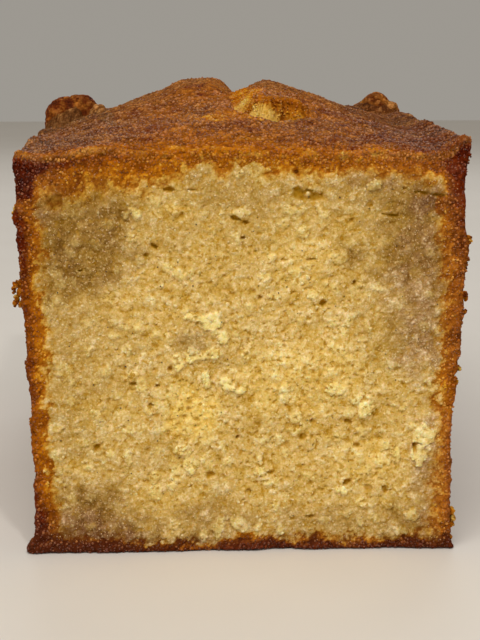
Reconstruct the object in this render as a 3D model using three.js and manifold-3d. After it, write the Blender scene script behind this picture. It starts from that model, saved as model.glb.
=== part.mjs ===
// A pound cake loaf, baked in a tall straight-sided loaf tin, with its first slices cut away.
// The cut face shows the crumb. The top is a dome with a split along it, a raised rim on each side,
// a knob on the left rim and a peak on the right one. The far end is baked crust.
//
// Millimetres, +Z up. The loaf runs along Y from the cut face at -LENGTH / 2 to the baked end, and
// the origin is under the middle of its base. "depth" below is the distance behind the cut face.

import * as THREE from 'three';
import { mergeVertices } from 'three/addons/utils/BufferGeometryUtils.js';
import Module from 'manifold-3d';

// Driving sizes.
const LENGTH = 160;
const TOP_WIDTH = 102;
const BASE_WIDTH = 96.6;
const RIM_HEIGHT = 91.8;
const CROWN_AT_CUT = 3.2;
const CROWN_RISE = 11.3;
const CROWN_FALL = 15.5;

// How the dome is drawn: its crossways shape, where it stops rising and where it falls to the end.
const DOME_POWER = 1.32;
const RISE_DEPTH = 74;
const FALL_START = 98;
const FALL_END = 164;

// Corners and the baked end.
const TOP_EDGE_RADIUS = 1.6;
const END_TOP_RADIUS = 8;
const END_CORNER_RADIUS = 9;
const END_DRAFT = 3.5;

// How finely the loaf is divided. The rings crowd together on the rounding of the baked end.
const COLUMNS = 26;
const ROWS = 20;
const EDGE_CROWDING = 0.25;
const RING_STEP = 5;
const END_RINGS = 4;

// The split in the top, as (x, depth) points from its near branch to the far end.
const SPLIT = [[20, 30], [13.5, 27.5], [7.5, 29], [3.6, 36], [1.2, 48], [-0.2, 64], [0.2, 82],
  [2, 100], [1, 118], [-3, 134]];
const SPLIT_FADE_IN = 9;
const SPLIT_FADE_OUT = [112, 130];
const LEDGE_HEIGHT = 2.3;
const GROOVE_DEPTH = 3.1;
const GROOVE_WIDTH = 2.4;

// Lumps that the rising batter left on the rims: x, depth, half width, half length, height, power.
const RIM_LUMPS = [
  [[-45.2, 88, 7.4, 7.5, 6.7, 0.5], [-39.2, 88, 4.6, 5.5, 1.8, 0.8]],
  [[44.3, 112, 7.5, 8, 5.6, 0.9], [49.4, 112, 3.0, 5, 2.0, 0.5]],
];

// Flakes and crumbs of crust that stand proud at the edges of the cut: centre x, depth, z, then the
// half sizes along x, y and z.
const FLAKES = [
  [-50.9, 1.6, 61.2, 1.9, 1.7, 3.3],
  [-50.6, 2.2, 79.5, 1.2, 1.6, 1.8],
  [50.7, 1.8, 72.7, 1.4, 1.7, 1.7],
  [50.3, 1.8, 59.9, 1.3, 1.6, 1.6],
  [49.8, 2.0, 55.4, 1.3, 1.4, 1.2],
  [49.4, 1.8, 47.8, 1.3, 1.5, 1.9],
  [48.5, 1.9, 6.4, 1.7, 1.8, 3.4],
];
const FLAKE_DETAIL = 1;
const FLAKE_ROUGHNESS = 0.16;

const clamp = (value, low, high) => Math.min(Math.max(value, low), high);
const mix = (a, b, t) => a + (b - a) * t;
const bell = (offset, width) => Math.exp(-((offset / width) ** 2));

/** Rises smoothly from 0 at a to 1 at b. */
function rise(a, b, value) {
  const t = clamp((value - a) / (b - a), 0, 1);
  return t * t * (3 - 2 * t);
}

/** How much a quarter round of the given radius has dropped, at a distance in from its edge. */
function rounding(radius, distance) {
  const inside = Math.max(radius - distance, 0);
  return radius - Math.sqrt(Math.max(radius ** 2 - inside ** 2, 0));
}

/** A repeatable value from -1 to 1 for a lattice point. */
function latticeValue(i, j, seed) {
  const value = Math.sin(i * 127.1 + j * 311.7 + seed * 74.7) * 43758.5453;
  return (value - Math.floor(value)) * 2 - 1;
}

/** Smooth unevenness from -1 to 1, with lumps about one cell across. */
function unevenness(x, y, cell, seed) {
  const [i, j] = [Math.floor(x / cell), Math.floor(y / cell)];
  const s = rise(0, 1, x / cell - i);
  const t = rise(0, 1, y / cell - j);
  const near = mix(latticeValue(i, j, seed), latticeValue(i + 1, j, seed), s);
  const far = mix(latticeValue(i, j + 1, seed), latticeValue(i + 1, j + 1, seed), s);
  return mix(near, far, t);
}

/** The nearest point of the split: its distance, how far along it is, and whether we are beyond it. */
function nearestSplit(x, depth) {
  let best = { distance: Infinity, along: 0, beyond: false };
  let walked = 0;
  for (let k = 0; k + 1 < SPLIT.length; k++) {
    const [ax, ad] = SPLIT[k];
    const [run, climb] = [SPLIT[k + 1][0] - ax, SPLIT[k + 1][1] - ad];
    const length = Math.hypot(run, climb);
    const t = clamp(((x - ax) * run + (depth - ad) * climb) / length ** 2, 0, 1);
    const [dx, dd] = [x - ax - t * run, depth - ad - t * climb];
    const distance = Math.hypot(dx, dd);
    if (distance < best.distance) {
      best = { distance, along: walked + t * length, beyond: run * dd - climb * dx < 0 };
    }
    walked += length;
  }
  return best;
}

/** The groove of the split, and the ledge of crust that stands up along its near branch. */
function splitRelief(x, depth) {
  const { distance, along, beyond } = nearestSplit(x, depth);
  const strength = rise(0, SPLIT_FADE_IN, along) * (1 - rise(...SPLIT_FADE_OUT, along));
  const ledgeFall = bell(Math.max(distance - 3, 0), 10) * (1 - 0.85 * rise(22, 50, along));
  const ledge = beyond ? LEDGE_HEIGHT * rise(0, 3.2, distance) * ledgeFall : 0;
  const width = GROOVE_WIDTH + 1.2 * rise(15, 50, along);
  const groove = (GROOVE_DEPTH + 1.2 * rise(30, 60, along)) * bell(distance, width);
  return strength * (ledge - groove);
}

/** One lump on a rim: a low mound inside an ellipse. */
function lump(x, depth, [cx, cd, halfWidth, halfLength, height, power]) {
  const reach = ((x - cx) / halfWidth) ** 2 + ((depth - cd) / halfLength) ** 2;
  return height * clamp(1 - reach, 0, 1) ** power;
}

/** Height of the top crust. */
function topHeight(x, depth) {
  const across = 1 - Math.abs(x / (TOP_WIDTH / 2)) ** DOME_POWER;
  const unrisen = clamp(1 - depth / RISE_DEPTH, 0, 1) ** 2;
  const crown = CROWN_AT_CUT + CROWN_RISE * (1 - unrisen) - CROWN_FALL * rise(FALL_START, FALL_END, depth);
  const leftRim = 1.4 * bell(x + 51, 3.2);
  const rightRim = 4.2 * bell(x - 50.5, 4.4) * (1 - 0.5 * rise(120, LENGTH, depth));
  const leftShoulder = 1.1 * Math.exp(-(((x + 12) / 7) ** 2) - ((depth - 64) / 24) ** 2);
  const lumps = RIM_LUMPS.reduce(
    (sum, group) => sum + Math.max(...group.map((shape) => lump(x, depth, shape))), 0);
  const rough = 0.8 * unevenness(x, depth, 17, 3) + 0.45 * unevenness(x, depth, 7, 5);
  return RIM_HEIGHT + crown * across + leftRim + rightRim + leftShoulder + splitRelief(x, depth)
    + lumps + rough - rounding(END_TOP_RADIUS, LENGTH - depth);
}

/** Distance of a side wall from the middle plane. "up" runs from 0 at the base to 1 at the rim. */
function sideDistance(up, depth, sign) {
  const taper = mix(BASE_WIDTH, TOP_WIDTH, rise(-0.15, 1.1, up)) / 2;
  const foot = sign < 0 ? 1.9 * bell(up, 0.035) * bell(depth, 8) : 0;
  const wave = 0.55 * unevenness(depth + 300 * sign, up * RIM_HEIGHT, 23, 11)
    + 0.35 * unevenness(depth + 300 * sign, up * RIM_HEIGHT, 9, 13);
  return taper + foot + wave - rounding(END_CORNER_RADIUS, LENGTH - depth);
}

/** Unevenness of the knife's cut through the crumb, where + stands back into the loaf. */
function cutRelief(x, z) {
  return 0.5 * unevenness(x, z, 21, 17) + 0.55 * unevenness(x, z, 8.5, 19);
}

/** Runs from -1 to 1 as step goes from 0 to count, with smaller steps towards both ends. */
function crowded(step, count) {
  const t = (2 * step) / count - 1;
  return mix(t, Math.sin((t * Math.PI) / 2), EDGE_CROWDING);
}

/** A point on the edge of the cross-section at a depth, for a cell on the rim of the section's grid. */
function edgePoint(i, j, depth) {
  const up = (crowded(j, ROWS) + 1) / 2;
  const u = crowded(i, COLUMNS);
  if (j === 0) {
    return [u * sideDistance(0, depth, Math.sign(u)), 0];
  }
  const sign = i === 0 ? -1 : Math.sign(u);
  const rim = sideDistance(1, depth, sign || 1);
  if (j === ROWS) {
    const x = u * rim;
    return [x, topHeight(x, depth) - rounding(TOP_EDGE_RADIUS, rim - Math.abs(x))];
  }
  const cornerHeight = topHeight(sign * rim, depth) - TOP_EDGE_RADIUS;
  return [sign * sideDistance(up, depth, sign), up * cornerHeight];
}

/** A point inside the cross-section, blended from the four edges (a Coons patch). */
function innerPoint(i, j, depth) {
  const u = (crowded(i, COLUMNS) + 1) / 2;
  const v = (crowded(j, ROWS) + 1) / 2;
  const edges = [edgePoint(i, 0, depth), edgePoint(i, ROWS, depth), edgePoint(0, j, depth),
    edgePoint(COLUMNS, j, depth)];
  const corners = [edgePoint(0, 0, depth), edgePoint(COLUMNS, 0, depth), edgePoint(0, ROWS, depth),
    edgePoint(COLUMNS, ROWS, depth)];
  return [0, 1].map((axis) => {
    const between = mix(edges[0][axis], edges[1][axis], v) + mix(edges[2][axis], edges[3][axis], u);
    const shared = mix(mix(corners[0][axis], corners[1][axis], u),
      mix(corners[2][axis], corners[3][axis], u), v);
    return between - shared;
  });
}

/** Places a section point in the loaf, with the cut's relief in front and the slope of the baked end. */
function place([x, z], depth) {
  const slope = END_DRAFT * (1 - z / RIM_HEIGHT) * rise(100, LENGTH, depth);
  const relief = depth === 0 && z > 0 ? cutRelief(x, z) : 0;
  return [x, depth - LENGTH / 2 - slope + relief, z];
}

/** Depths of the rings: even steps, then steps round the quarter circle of the baked end. */
function ringDepths() {
  const straight = LENGTH - END_CORNER_RADIUS - 1;
  const even = Array.from({ length: straight / RING_STEP + 1 }, (_, k) => k * RING_STEP);
  const round = Array.from({ length: END_RINGS }, (_, k) => {
    const angle = ((k + 1) / END_RINGS) * (Math.PI / 2);
    return LENGTH - END_CORNER_RADIUS * (1 - Math.sin(angle));
  });
  return [...even, ...round];
}

/** The cells on the rim of the section's grid, anticlockwise as seen from the cut face. */
function rimCells() {
  const base = Array.from({ length: COLUMNS }, (_, k) => [k, 0]);
  const right = Array.from({ length: ROWS }, (_, k) => [COLUMNS, k]);
  const top = Array.from({ length: COLUMNS }, (_, k) => [COLUMNS - k, ROWS]);
  const left = Array.from({ length: ROWS }, (_, k) => [0, ROWS - k]);
  return [...base, ...right, ...top, ...left];
}

/** Fills the section at one end of the loaf with a grid of faces that shares the ring's points. */
function addCap(positions, faces, cells, firstOfRing, depth, facesFront) {
  const index = new Map(cells.map(([i, j], k) => [`${i},${j}`, firstOfRing + k]));
  for (let j = 1; j < ROWS; j++) {
    for (let i = 1; i < COLUMNS; i++) {
      index.set(`${i},${j}`, positions.length / 3);
      positions.push(...place(innerPoint(i, j, depth), depth));
    }
  }
  for (let j = 0; j < ROWS; j++) {
    for (let i = 0; i < COLUMNS; i++) {
      const [a, b, c, d] = [[i, j], [i + 1, j], [i + 1, j + 1], [i, j + 1]].map((cell) => index.get(`${cell}`));
      faces.push(...(facesFront ? [a, b, c, a, c, d] : [a, c, b, a, d, c]));
    }
  }
}

/** The loaf as one closed mesh: rings along its length, and a capped end at each side. */
function loafGeometry() {
  const depths = ringDepths();
  const cells = rimCells();
  const positions = [];
  const faces = [];
  for (const depth of depths) {
    for (const [i, j] of cells) {
      positions.push(...place(edgePoint(i, j, depth), depth));
    }
  }
  for (let ring = 0; ring + 1 < depths.length; ring++) {
    for (let k = 0; k < cells.length; k++) {
      const next = (k + 1) % cells.length;
      const [a, b] = [ring * cells.length + k, ring * cells.length + next];
      const [c, d] = [b + cells.length, a + cells.length];
      faces.push(a, d, c, a, c, b);
    }
  }
  addCap(positions, faces, cells, 0, 0, true);
  addCap(positions, faces, cells, (depths.length - 1) * cells.length, LENGTH, false);
  const geometry = new THREE.BufferGeometry();
  geometry.setAttribute('position', new THREE.Float32BufferAttribute(positions, 3));
  geometry.setIndex(faces);
  return geometry;
}

/** A small rough lump of crust. */
function flakeGeometry([x, depth, z, halfX, halfY, halfZ]) {
  const ball = new THREE.IcosahedronGeometry(1, FLAKE_DETAIL);
  ball.deleteAttribute('normal');
  ball.deleteAttribute('uv');
  const geometry = mergeVertices(ball, 1e-4);
  const points = geometry.getAttribute('position');
  for (let k = 0; k < points.count; k++) {
    const stretch = 1 + FLAKE_ROUGHNESS * latticeValue(k, Math.round(z), 23);
    points.setXYZ(k, points.getX(k) * stretch, points.getY(k) * stretch, points.getZ(k) * stretch);
  }
  geometry.scale(halfX, halfY, halfZ);
  geometry.translate(x, depth - LENGTH / 2, z);
  return geometry;
}

const wasm = await Module();
wasm.setup();

/** A closed geometry as a solid that can be joined to others. */
function solid(geometry) {
  const vertProperties = new Float32Array(geometry.getAttribute('position').array);
  const triVerts = new Uint32Array(geometry.getIndex().array);
  return new wasm.Manifold(new wasm.Mesh({ numProp: 3, vertProperties, triVerts }));
}

/** A joined solid as a geometry with flat faces. */
function geometryOf(manifold) {
  const mesh = manifold.getMesh();
  const geometry = new THREE.BufferGeometry();
  geometry.setAttribute('position', new THREE.BufferAttribute(mesh.vertProperties, 3));
  geometry.setIndex(new THREE.BufferAttribute(mesh.triVerts, 1));
  geometry.computeVertexNormals();
  return geometry;
}

/** The whole loaf: the baked body with the flakes of crust fused to the edges of the cut. */
function makeLoaf() {
  const body = solid(loafGeometry());
  const whole = FLAKES.reduce((joined, flake) => joined.add(solid(flakeGeometry(flake))), body);
  const crust = new THREE.MeshStandardMaterial({ color: 0x9a5a22, roughness: 0.72, metalness: 0 });
  const loaf = new THREE.Mesh(geometryOf(whole), crust);
  loaf.name = 'loaf';
  return loaf;
}

const cake = new THREE.Group();
cake.name = 'pound_cake_loaf';
cake.add(makeLoaf());

export default cake;
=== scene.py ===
"""A pound cake loaf with its first slices cut away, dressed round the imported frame.

The loaf stands on its base. Its cut face looks towards -Y and shows the crumb, its top is a split
and browned dome, and its sides, base and far end are the crust that the tin baked. Forms are worked
out in millimetres with numpy, as whole arrays, and become Blender meshes in metres at the very end.
"Depth" is always the distance behind the cut face, and "up" runs from 0 at the base to 1 at the rim.
"""

from __future__ import annotations

import logging
import math
from collections.abc import Callable
from dataclasses import dataclass, replace
from enum import Enum
from itertools import product

import bpy
import numpy as np
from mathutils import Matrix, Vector


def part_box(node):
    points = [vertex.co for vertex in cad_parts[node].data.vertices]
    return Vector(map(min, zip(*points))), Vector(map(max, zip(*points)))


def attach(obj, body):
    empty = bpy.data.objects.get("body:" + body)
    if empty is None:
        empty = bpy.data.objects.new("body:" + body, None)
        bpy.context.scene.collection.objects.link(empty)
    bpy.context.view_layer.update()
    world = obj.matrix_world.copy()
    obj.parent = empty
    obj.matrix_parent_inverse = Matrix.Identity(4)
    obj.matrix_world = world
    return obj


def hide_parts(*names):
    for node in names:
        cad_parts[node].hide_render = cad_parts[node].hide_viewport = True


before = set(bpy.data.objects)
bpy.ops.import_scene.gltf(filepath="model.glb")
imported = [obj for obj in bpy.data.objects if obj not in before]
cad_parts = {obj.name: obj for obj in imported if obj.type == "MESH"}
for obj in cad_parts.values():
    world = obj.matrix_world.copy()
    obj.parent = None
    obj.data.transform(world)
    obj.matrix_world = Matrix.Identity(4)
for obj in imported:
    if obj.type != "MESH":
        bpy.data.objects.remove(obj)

Array = np.ndarray
Tints = dict[str, Array]
Ramp = tuple[tuple[float, tuple[float, ...]], ...]

MM = 0.001
NODE = "loaf"
BODY = "root"
TINTS = ("brown", "hollow_shade", "pale", "damp", "yolk", "scorch", "tone", "dust", "rose")

NO_QUADS = np.zeros((0, 4), int)

log = logging.getLogger("pound_cake")


# --- Numbers: smooth steps and repeatable noise ---


def rise(start: float, end: float, value: Array) -> Array:
    """Smooth step: 3t^2 - 2t^3, with t going from 0 at start to 1 at end.

    Args:
        start: where the step leaves 0.
        end: where it reaches 1.
        value: the values to step.

    Returns:
        An array from 0 to 1.
    """
    t = np.clip((value - start) / (end - start), 0.0, 1.0)
    return t * t * (3.0 - 2.0 * t)


def bell(offset: Array, width: float) -> Array:
    """Bell curve: e to the power of minus (offset / width) squared."""
    return np.exp(-((offset / width) ** 2))


def rounding(radius: float, distance: Array) -> Array:
    """How far a quarter round has dropped, at a distance in from its edge: r - sqrt(r^2 - (r - d)^2)."""
    inside = np.clip(radius - distance, 0.0, radius)
    return radius - np.sqrt(radius**2 - inside**2)


def blend(a: Array, b: Array, t: Array) -> Array:
    """Straight-line blend from a to b."""
    return a + (b - a) * t


def lattice_value(seed: float, *cells: Array) -> Array:
    """A repeatable value from -1 to 1 for each lattice point: the fraction of a large sine."""
    factors = (127.1, 311.7, 191.3)
    phase = seed * 74.7
    for cell, factor in zip(cells, factors):
        phase = phase + cell * factor
    value = np.sin(phase) * 43758.5453
    return (value - np.floor(value)) * 2.0 - 1.0


def unevenness(cell: float, seed: float, *coords: Array) -> Array:
    """Value noise from -1 to 1: lattice values blended by smooth steps along two or three axes.

    Args:
        cell: size of a lump, in the units of the coordinates.
        seed: picks the pattern.
        coords: two or three arrays of coordinates.

    Returns:
        An array of the coordinates' shape.
    """
    lows = [np.floor(c / cell) for c in coords]
    parts = [rise(0.0, 1.0, c / cell - low) for c, low in zip(coords, lows)]
    total = 0.0
    for corner in range(2 ** len(coords)):
        steps = [(corner >> axis) & 1 for axis in range(len(coords))]
        weight = 1.0
        for part, step in zip(parts, steps):
            weight = weight * (part if step else 1.0 - part)
        total = total + weight * lattice_value(seed, *[low + step for low, step in zip(lows, steps)])
    return total


def layers(rows: tuple[tuple[float, float, float], ...], *coords: Array) -> Array:
    """Sum of noises, one for each row of a weight, a cell and a seed."""
    return sum(weight * unevenness(cell, seed, *coords) for weight, cell, seed in rows)


def grains(cell: float, seed: float, *coords: Array) -> tuple[Array, Array]:
    """Distance to the nearest of a jittered set of points, and that point's own random value.

    Args:
        cell: spacing of the points.
        seed: picks the pattern.
        coords: two or three arrays of coordinates.

    Returns:
        The distance in cells, and a value from -1 to 1 for each grain.
    """
    scaled = [c / cell for c in coords]
    lows = [np.floor(c) for c in scaled]
    nearest = np.full(np.shape(coords[0]), 9.0)
    chosen = np.zeros_like(nearest)
    for steps in product((-1, 0, 1), repeat=len(coords)):
        cells = [low + step for low, step in zip(lows, steps)]
        squares = 0.0
        for axis, (here, number) in enumerate(zip(scaled, cells)):
            jitter = 0.42 * lattice_value(seed + 5 * axis, *cells)
            squares = squares + (here - number - 0.5 - jitter) ** 2
        closer = squares < nearest
        nearest = np.where(closer, squares, nearest)
        chosen = np.where(closer, lattice_value(seed + 19, *cells), chosen)
    return np.sqrt(nearest), chosen


@dataclass(frozen=True)
class Granules:
    """Rounded granules in a few sizes. A sort is a row of its cell, seed, lift and share of the tone."""

    sorts: tuple[tuple[float, ...], ...]
    fall: float
    unequal: float
    tone_of_grain: float
    shade_of_height: float
    mean_height: float

    def at(self, *coords: Array) -> tuple[Array, Array]:
        """How proud each place is, and a tone that differs by granule, with painted shade: lightest on its
        proud middle.

        Args:
            coords: two or three arrays of coordinates.

        Returns:
            Height in millimetres, and a tone from 0 (golden and deep, painted shade) to 1 (creamy and proud,
            painted light).
        """
        height, tone = 0.0, 0.5
        for cell, seed, lift, share in self.sorts:
            distance, value = grains(cell, seed, *coords)
            proud = 1 - np.minimum(distance, 1.0) ** 2 * self.fall
            height = height + lift * proud * (1 + self.unequal * value)
            # Painted shade: a granule's proud middle gets a lighter tone, and the creases between granules a
            # darker one.
            own = self.tone_of_grain * value + self.shade_of_height * (proud - self.mean_height)
            tone = tone + share * own
        return height, np.clip(tone, 0, 1)


CRUMB_GRANULES = Granules(
    sorts=((3.4, 20, 0.3, 0.16), (1.5, 23, 0.2, 0.26), (0.82, 24, 0.14, 0.36)),
    fall=1.6, unequal=0.5, tone_of_grain=0.45, shade_of_height=0.55, mean_height=0.62,
)
CRUST_GRANULES = Granules(
    sorts=((1.35, 75, 0.22, 0.3), (0.85, 76, 0.16, 0.36)),
    fall=1.5, unequal=0.6, tone_of_grain=0.7, shade_of_height=0.4, mean_height=0.6,
)


# --- The loaf's form ---


class Side(Enum):
    """The two long sides, with the sign of X on which each lies."""

    LEFT = -1.0
    RIGHT = 1.0


@dataclass(frozen=True)
class LoafForm:
    """The main form of the loaf, in millimetres: the surfaces that its solid has too."""

    length: float
    top_width: float = 102.0
    base_width: float = 96.6
    rim_height: float = 91.8
    crown_at_cut: float = 3.2
    crown_rise: float = 11.3
    crown_fall: float = 15.5
    dome_power: float = 1.32
    rise_depth: float = 74.0
    fall_span: tuple[float, float] = (98.0, 164.0)
    top_edge_radius: float = 1.6
    end_top_radius: float = 8.0
    end_corner_radius: float = 9.0
    end_draft: float = 3.5
    split: tuple[tuple[float, float], ...] = (
        (21, 32.2), (16, 28.6), (11.7, 26), (9, 23.8), (7, 22.2), (4.8, 23.4), (2.4, 26.2), (0.4, 29.6),
        (-0.4, 36), (-0.5, 44), (-0.5, 56), (-0.3, 68), (0.2, 82), (2, 100), (1, 118), (-3, 134),
    )
    left_edge: tuple[tuple[float, float], ...] = (
        (0, 0.25), (2, 0.4), (3.4, -0.3), (8, 0), (12.5, -0.15), (16.5, 0.15), (19, -0.35), (21, 0),
        (24, 0.2), (29, -0.1), (31, -0.15), (33, -0.75), (36, -0.95), (41, -0.85), (43.8, -0.4), (45.2, -0.3),
        (47, -0.85), (49.5, -0.7), (53.5, -0.95), (56.5, -0.65), (58.8, -0.2), (62, -0.45), (66.8, -0.75),
        (70, -0.5), (72.5, -0.1), (76.2, 0.05), (77.2, 0.6), (79.2, 1.2), (80.3, 0.8), (82, 0.45), (86, 0.38),
        (88.2, 0.5), (90.2, 0.95), (92, 0.65), (96, 0.6),
    )
    right_edge: tuple[tuple[float, float], ...] = (
        (0, 0.2), (2.5, -0.5), (4, -0.3), (9, -0.65), (14, -0.6), (20, -0.5), (26, -0.6), (32, -0.5),
        (38, -0.25), (40.3, -1.1), (41.8, -0.65), (43.7, -1.1), (45.5, -0.45), (52.6, -0.55), (53.6, -0.1),
        (57, 0.1), (61.4, -0.25), (63, 0.1), (65, -0.05), (66.5, 0.5), (68.5, 0.65), (70.6, 0.2), (74, -0.35),
        (77.5, -0.6), (84.3, -1), (88, -0.9), (90, -0.5), (92.2, -0.05), (93.5, 0.4), (94.6, 0.45),
        (96, -0.2),
    )
    touches: tuple[tuple[float, ...], ...] = (
        (-13.5, 82, 5.5, 22, 1.3), (5.5, 86, 3.3, 28, -2.6), (-33.5, 98, 4, 14, -1.2), (-43.5, 88, 6, 6, 0.6),
        (32, 100, 4.5, 14, -0.8), (40.3, 113, 2.6, 8, -0.7), (45, 112, 1.8, 7, 0.2),
        (48.2, 112, 1.4, 6, -0.9), (50.4, 2, 2.6, 7, 0.9), (-35.5, 118, 4.5, 16, -1.4),
        (-50.2, 88, 2.2, 7, -1.2), (49.9, 86, 2.4, 8, -0.7),
    )
    rim_lumps: tuple[tuple[tuple[float, ...], ...], ...] = (
        ((-45.2, 88, 7.0, 7.0, 5.0, 0.5), (-39.2, 88, 4.6, 5.5, 1.2, 0.8)),
        ((44.3, 112, 7.2, 7.6, 4.4, 0.9), (49.4, 112, 3.0, 5, 1.4, 0.5)),
    )

    def nearest_split(self, x: Array, depth: Array) -> tuple[Array, Array, Array]:
        """The nearest point of the split line, by dropping a perpendicular on each of its stretches.

        Args:
            x: across the loaf.
            depth: behind the cut.

        Returns:
            Distance to the line, how far along it the nearest point is, and 1 on its far side.
        """
        shape = np.broadcast(x, depth).shape
        nearest, along, beyond = np.full(shape, 1e9), np.zeros(shape), np.zeros(shape)
        walked = 0.0
        for (ax, ad), (bx, bd) in zip(self.split, self.split[1:]):
            run, climb = bx - ax, bd - ad
            size = math.hypot(run, climb)
            t = np.clip(((x - ax) * run + (depth - ad) * climb) / size**2, 0.0, 1.0)
            dx, dd = x - ax - t * run, depth - ad - t * climb
            distance = np.hypot(dx, dd)
            closer = distance < nearest
            nearest = np.where(closer, distance, nearest)
            along = np.where(closer, walked + t * size, along)
            beyond = np.where(closer, run * dd - climb * dx < 0, beyond)
            walked += size
        return nearest, along, beyond

    def wall_width(self, along: Array) -> Array:
        """How wide the torn wall on the split's far side is: a steep lip, then a ramp, then a slope."""
        return 2.0 + 3.4 * rise(20, 30, along) * (1 - 0.5 * rise(48, 64, along))

    def split_relief(self, x: Array, depth: Array) -> Array:
        """The split: a steep drop on its near side, and a torn wall that climbs to a ledge beyond it.

        The near side is minus the drop times a bell. The far side climbs from minus the drop to the
        ledge over the wall's width, with a rolled lip on top, and the ledge then falls away.

        Args:
            x: across the loaf.
            depth: behind the cut.

        Returns:
            Millimetres to add to the top.
        """
        distance, along, beyond = self.nearest_split(x, depth)
        strength = rise(0, 9, along) * (1 - rise(116, 134, along))
        back = rise(42, 60, along)
        drop = 3.0 + 1.0 * rise(38, 64, along)
        near = -drop * bell(distance, 1.5 + 1.5 * back)
        climb = rise(0, 1, distance / self.wall_width(along))
        ledge = 2.7 * bell(np.maximum(distance - 5, 0), 9) * (1 - 0.85 * rise(28, 56, along))
        lip = 0.6 * bell(distance - self.wall_width(along) - 1.0, 1.1) * (1 - back)
        steep = climb * (ledge + lip) - drop * (1 - climb)
        swell = 2.3 * rise(0, 3.2, distance) * bell(np.maximum(distance - 3, 0), 10) * 0.15
        gentle = swell - drop * bell(distance, 3.6)
        return strength * np.where(beyond > 0, blend(steep, gentle, back), near)

    def lump(self, x: Array, depth: Array, shape: tuple[float, ...]) -> Array:
        """A mound inside an ellipse: height times (1 - reach) to a power."""
        cx, cd, half_width, half_length, height, power = shape
        reach = ((x - cx) / half_width) ** 2 + ((depth - cd) / half_length) ** 2
        return height * np.clip(1 - reach, 0, 1) ** power

    def top_height(self, x: Array, depth: Array, rounded: float = 1.0) -> Array:
        """Height of the top: rims, a dome that rises and falls along the loaf, the split and lumps.

        Args:
            x: across the loaf.
            depth: behind the cut.
            rounded: 0 leaves out the rounding over the baked end.

        Returns:
            Height in millimetres.
        """
        across = 1 - np.abs(x / (self.top_width / 2)) ** self.dome_power
        unrisen = np.clip(1 - depth / self.rise_depth, 0, 1) ** 2
        crown = self.crown_at_cut + self.crown_rise * (1 - unrisen)
        crown = crown - self.crown_fall * rise(*self.fall_span, depth)
        rims = 1.4 * bell(x + 51, 3.2) + 4.2 * bell(x - 50.5, 4.4) * (1 - 0.5 * rise(120, self.length, depth))
        shoulder = 1.1 * np.exp(-(((x + 12) / 7) ** 2) - ((depth - 64) / 24) ** 2)
        lumps = 0.0
        for group in self.rim_lumps:
            lumps = lumps + np.maximum(*[self.lump(x, depth, shape) for shape in group])
        rough = layers(((0.8, 17, 3), (0.45, 7, 5)), x, depth)
        height = self.rim_height + crown * across + rims + shoulder + self.split_relief(x, depth)
        for cx, cd, half_width, half_length, rest in self.touches:
            aside, behind = (x - cx) / half_width, (depth - cd) / half_length
            height = height + rest * np.exp(-(aside**2) - behind**2)
        return height + lumps + rough - rounding(self.end_top_radius, self.length - depth) * rounded

    def side_distance(self, up: Array, depth: Array, side: Side) -> Array:
        """Distance of a side wall from the middle plane: the tin's taper, waves and round corners."""
        taper = blend(self.base_width, self.top_width, rise(-0.15, 1.1, up)) / 2
        along = depth + 300 * side.value
        tall = up * self.rim_height
        wave = layers(((0.55, 23, 11), (0.35, 9, 13)), along, tall)
        foot = 1.9 * bell(up, 0.035) * bell(depth, 8) if side is Side.LEFT else 0.0
        heights, rests = zip(*(self.left_edge if side is Side.LEFT else self.right_edge))
        edge = np.interp(tall, heights, rests) * bell(depth, 9)
        return taper + wave + foot + edge - rounding(self.end_corner_radius, self.length - depth)

    def half_width(self, x: Array, up: Array, depth: Array) -> Array:
        """Distance from the middle plane of the wall on the side that the sign of x picks."""
        left, right = (self.side_distance(up, depth, side) for side in Side)
        return np.where(x < 0, left, right)

    def cut_relief(self, x: Array, z: Array) -> Array:
        """Broad waves of the knife's cut, where + stands back into the loaf."""
        return layers(((0.5, 21, 17), (0.55, 8.5, 19)), x, z)

    def side_edge(self, up: Array, depth: Array, side: Side) -> tuple[Array, Array]:
        """X and Z of a side wall at a height share and a depth."""
        rim = side.value * self.side_distance(np.ones_like(depth), depth, side)
        corner = self.top_height(rim, depth) - self.top_edge_radius
        return side.value * self.side_distance(up, depth, side), up * corner

    def top_edge(self, across: Array, depth: Array) -> tuple[Array, Array]:
        """X and Z of the top, where across runs from -1 at the left rim to 1 at the right one."""
        rim = self.half_width(across, np.ones_like(depth), depth)
        x = across * rim
        return x, self.top_height(x, depth) - rounding(self.top_edge_radius, rim - np.abs(x))

    def base_edge(self, across: Array, depth: Array) -> tuple[Array, Array]:
        """X and Z of the flat base."""
        x = across * self.half_width(across, np.zeros_like(depth), depth)
        return x, np.zeros_like(x)

    def section(self, across: Array, up: Array, depth: float) -> tuple[Array, Array]:
        """Fills a cross-section from its four edges, as a Coons patch.

        Args:
            across: values from -1 to 1, one a column.
            up: values from 0 to 1, one a row.
            depth: where the section is.

        Returns:
            X and Z as arrays of rows by columns.
        """
        here = np.full(1, depth)
        u, v = (across[None, :] + 1) / 2, up[:, None]
        base, top = self.base_edge(across, here), self.top_edge(across, here)
        left, right = (self.side_edge(up, here, side) for side in Side)
        axes = []
        for axis in (0, 1):
            ends = blend(base[axis][None, :], top[axis][None, :], v)
            sides = blend(left[axis][:, None], right[axis][:, None], u)
            low = blend(left[axis][0], right[axis][0], u)
            high = blend(left[axis][-1], right[axis][-1], u)
            axes.append(ends + sides - blend(low, high, v))
        return axes[0], axes[1]

    def place(self, x: Array, depth: Array, z: Array) -> Array:
        """Puts section points in the row's frame, X, Y and Z last, with the slope of the baked end."""
        slope = self.end_draft * (1 - z / self.rim_height) * rise(100, self.length, depth)
        y = depth - self.length / 2 - slope
        return np.stack(np.broadcast_arrays(x, y, z), axis=-1).astype(float)


# --- Skins: grids of points that are welded, roughened, closed and made into Blender meshes ---


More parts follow.
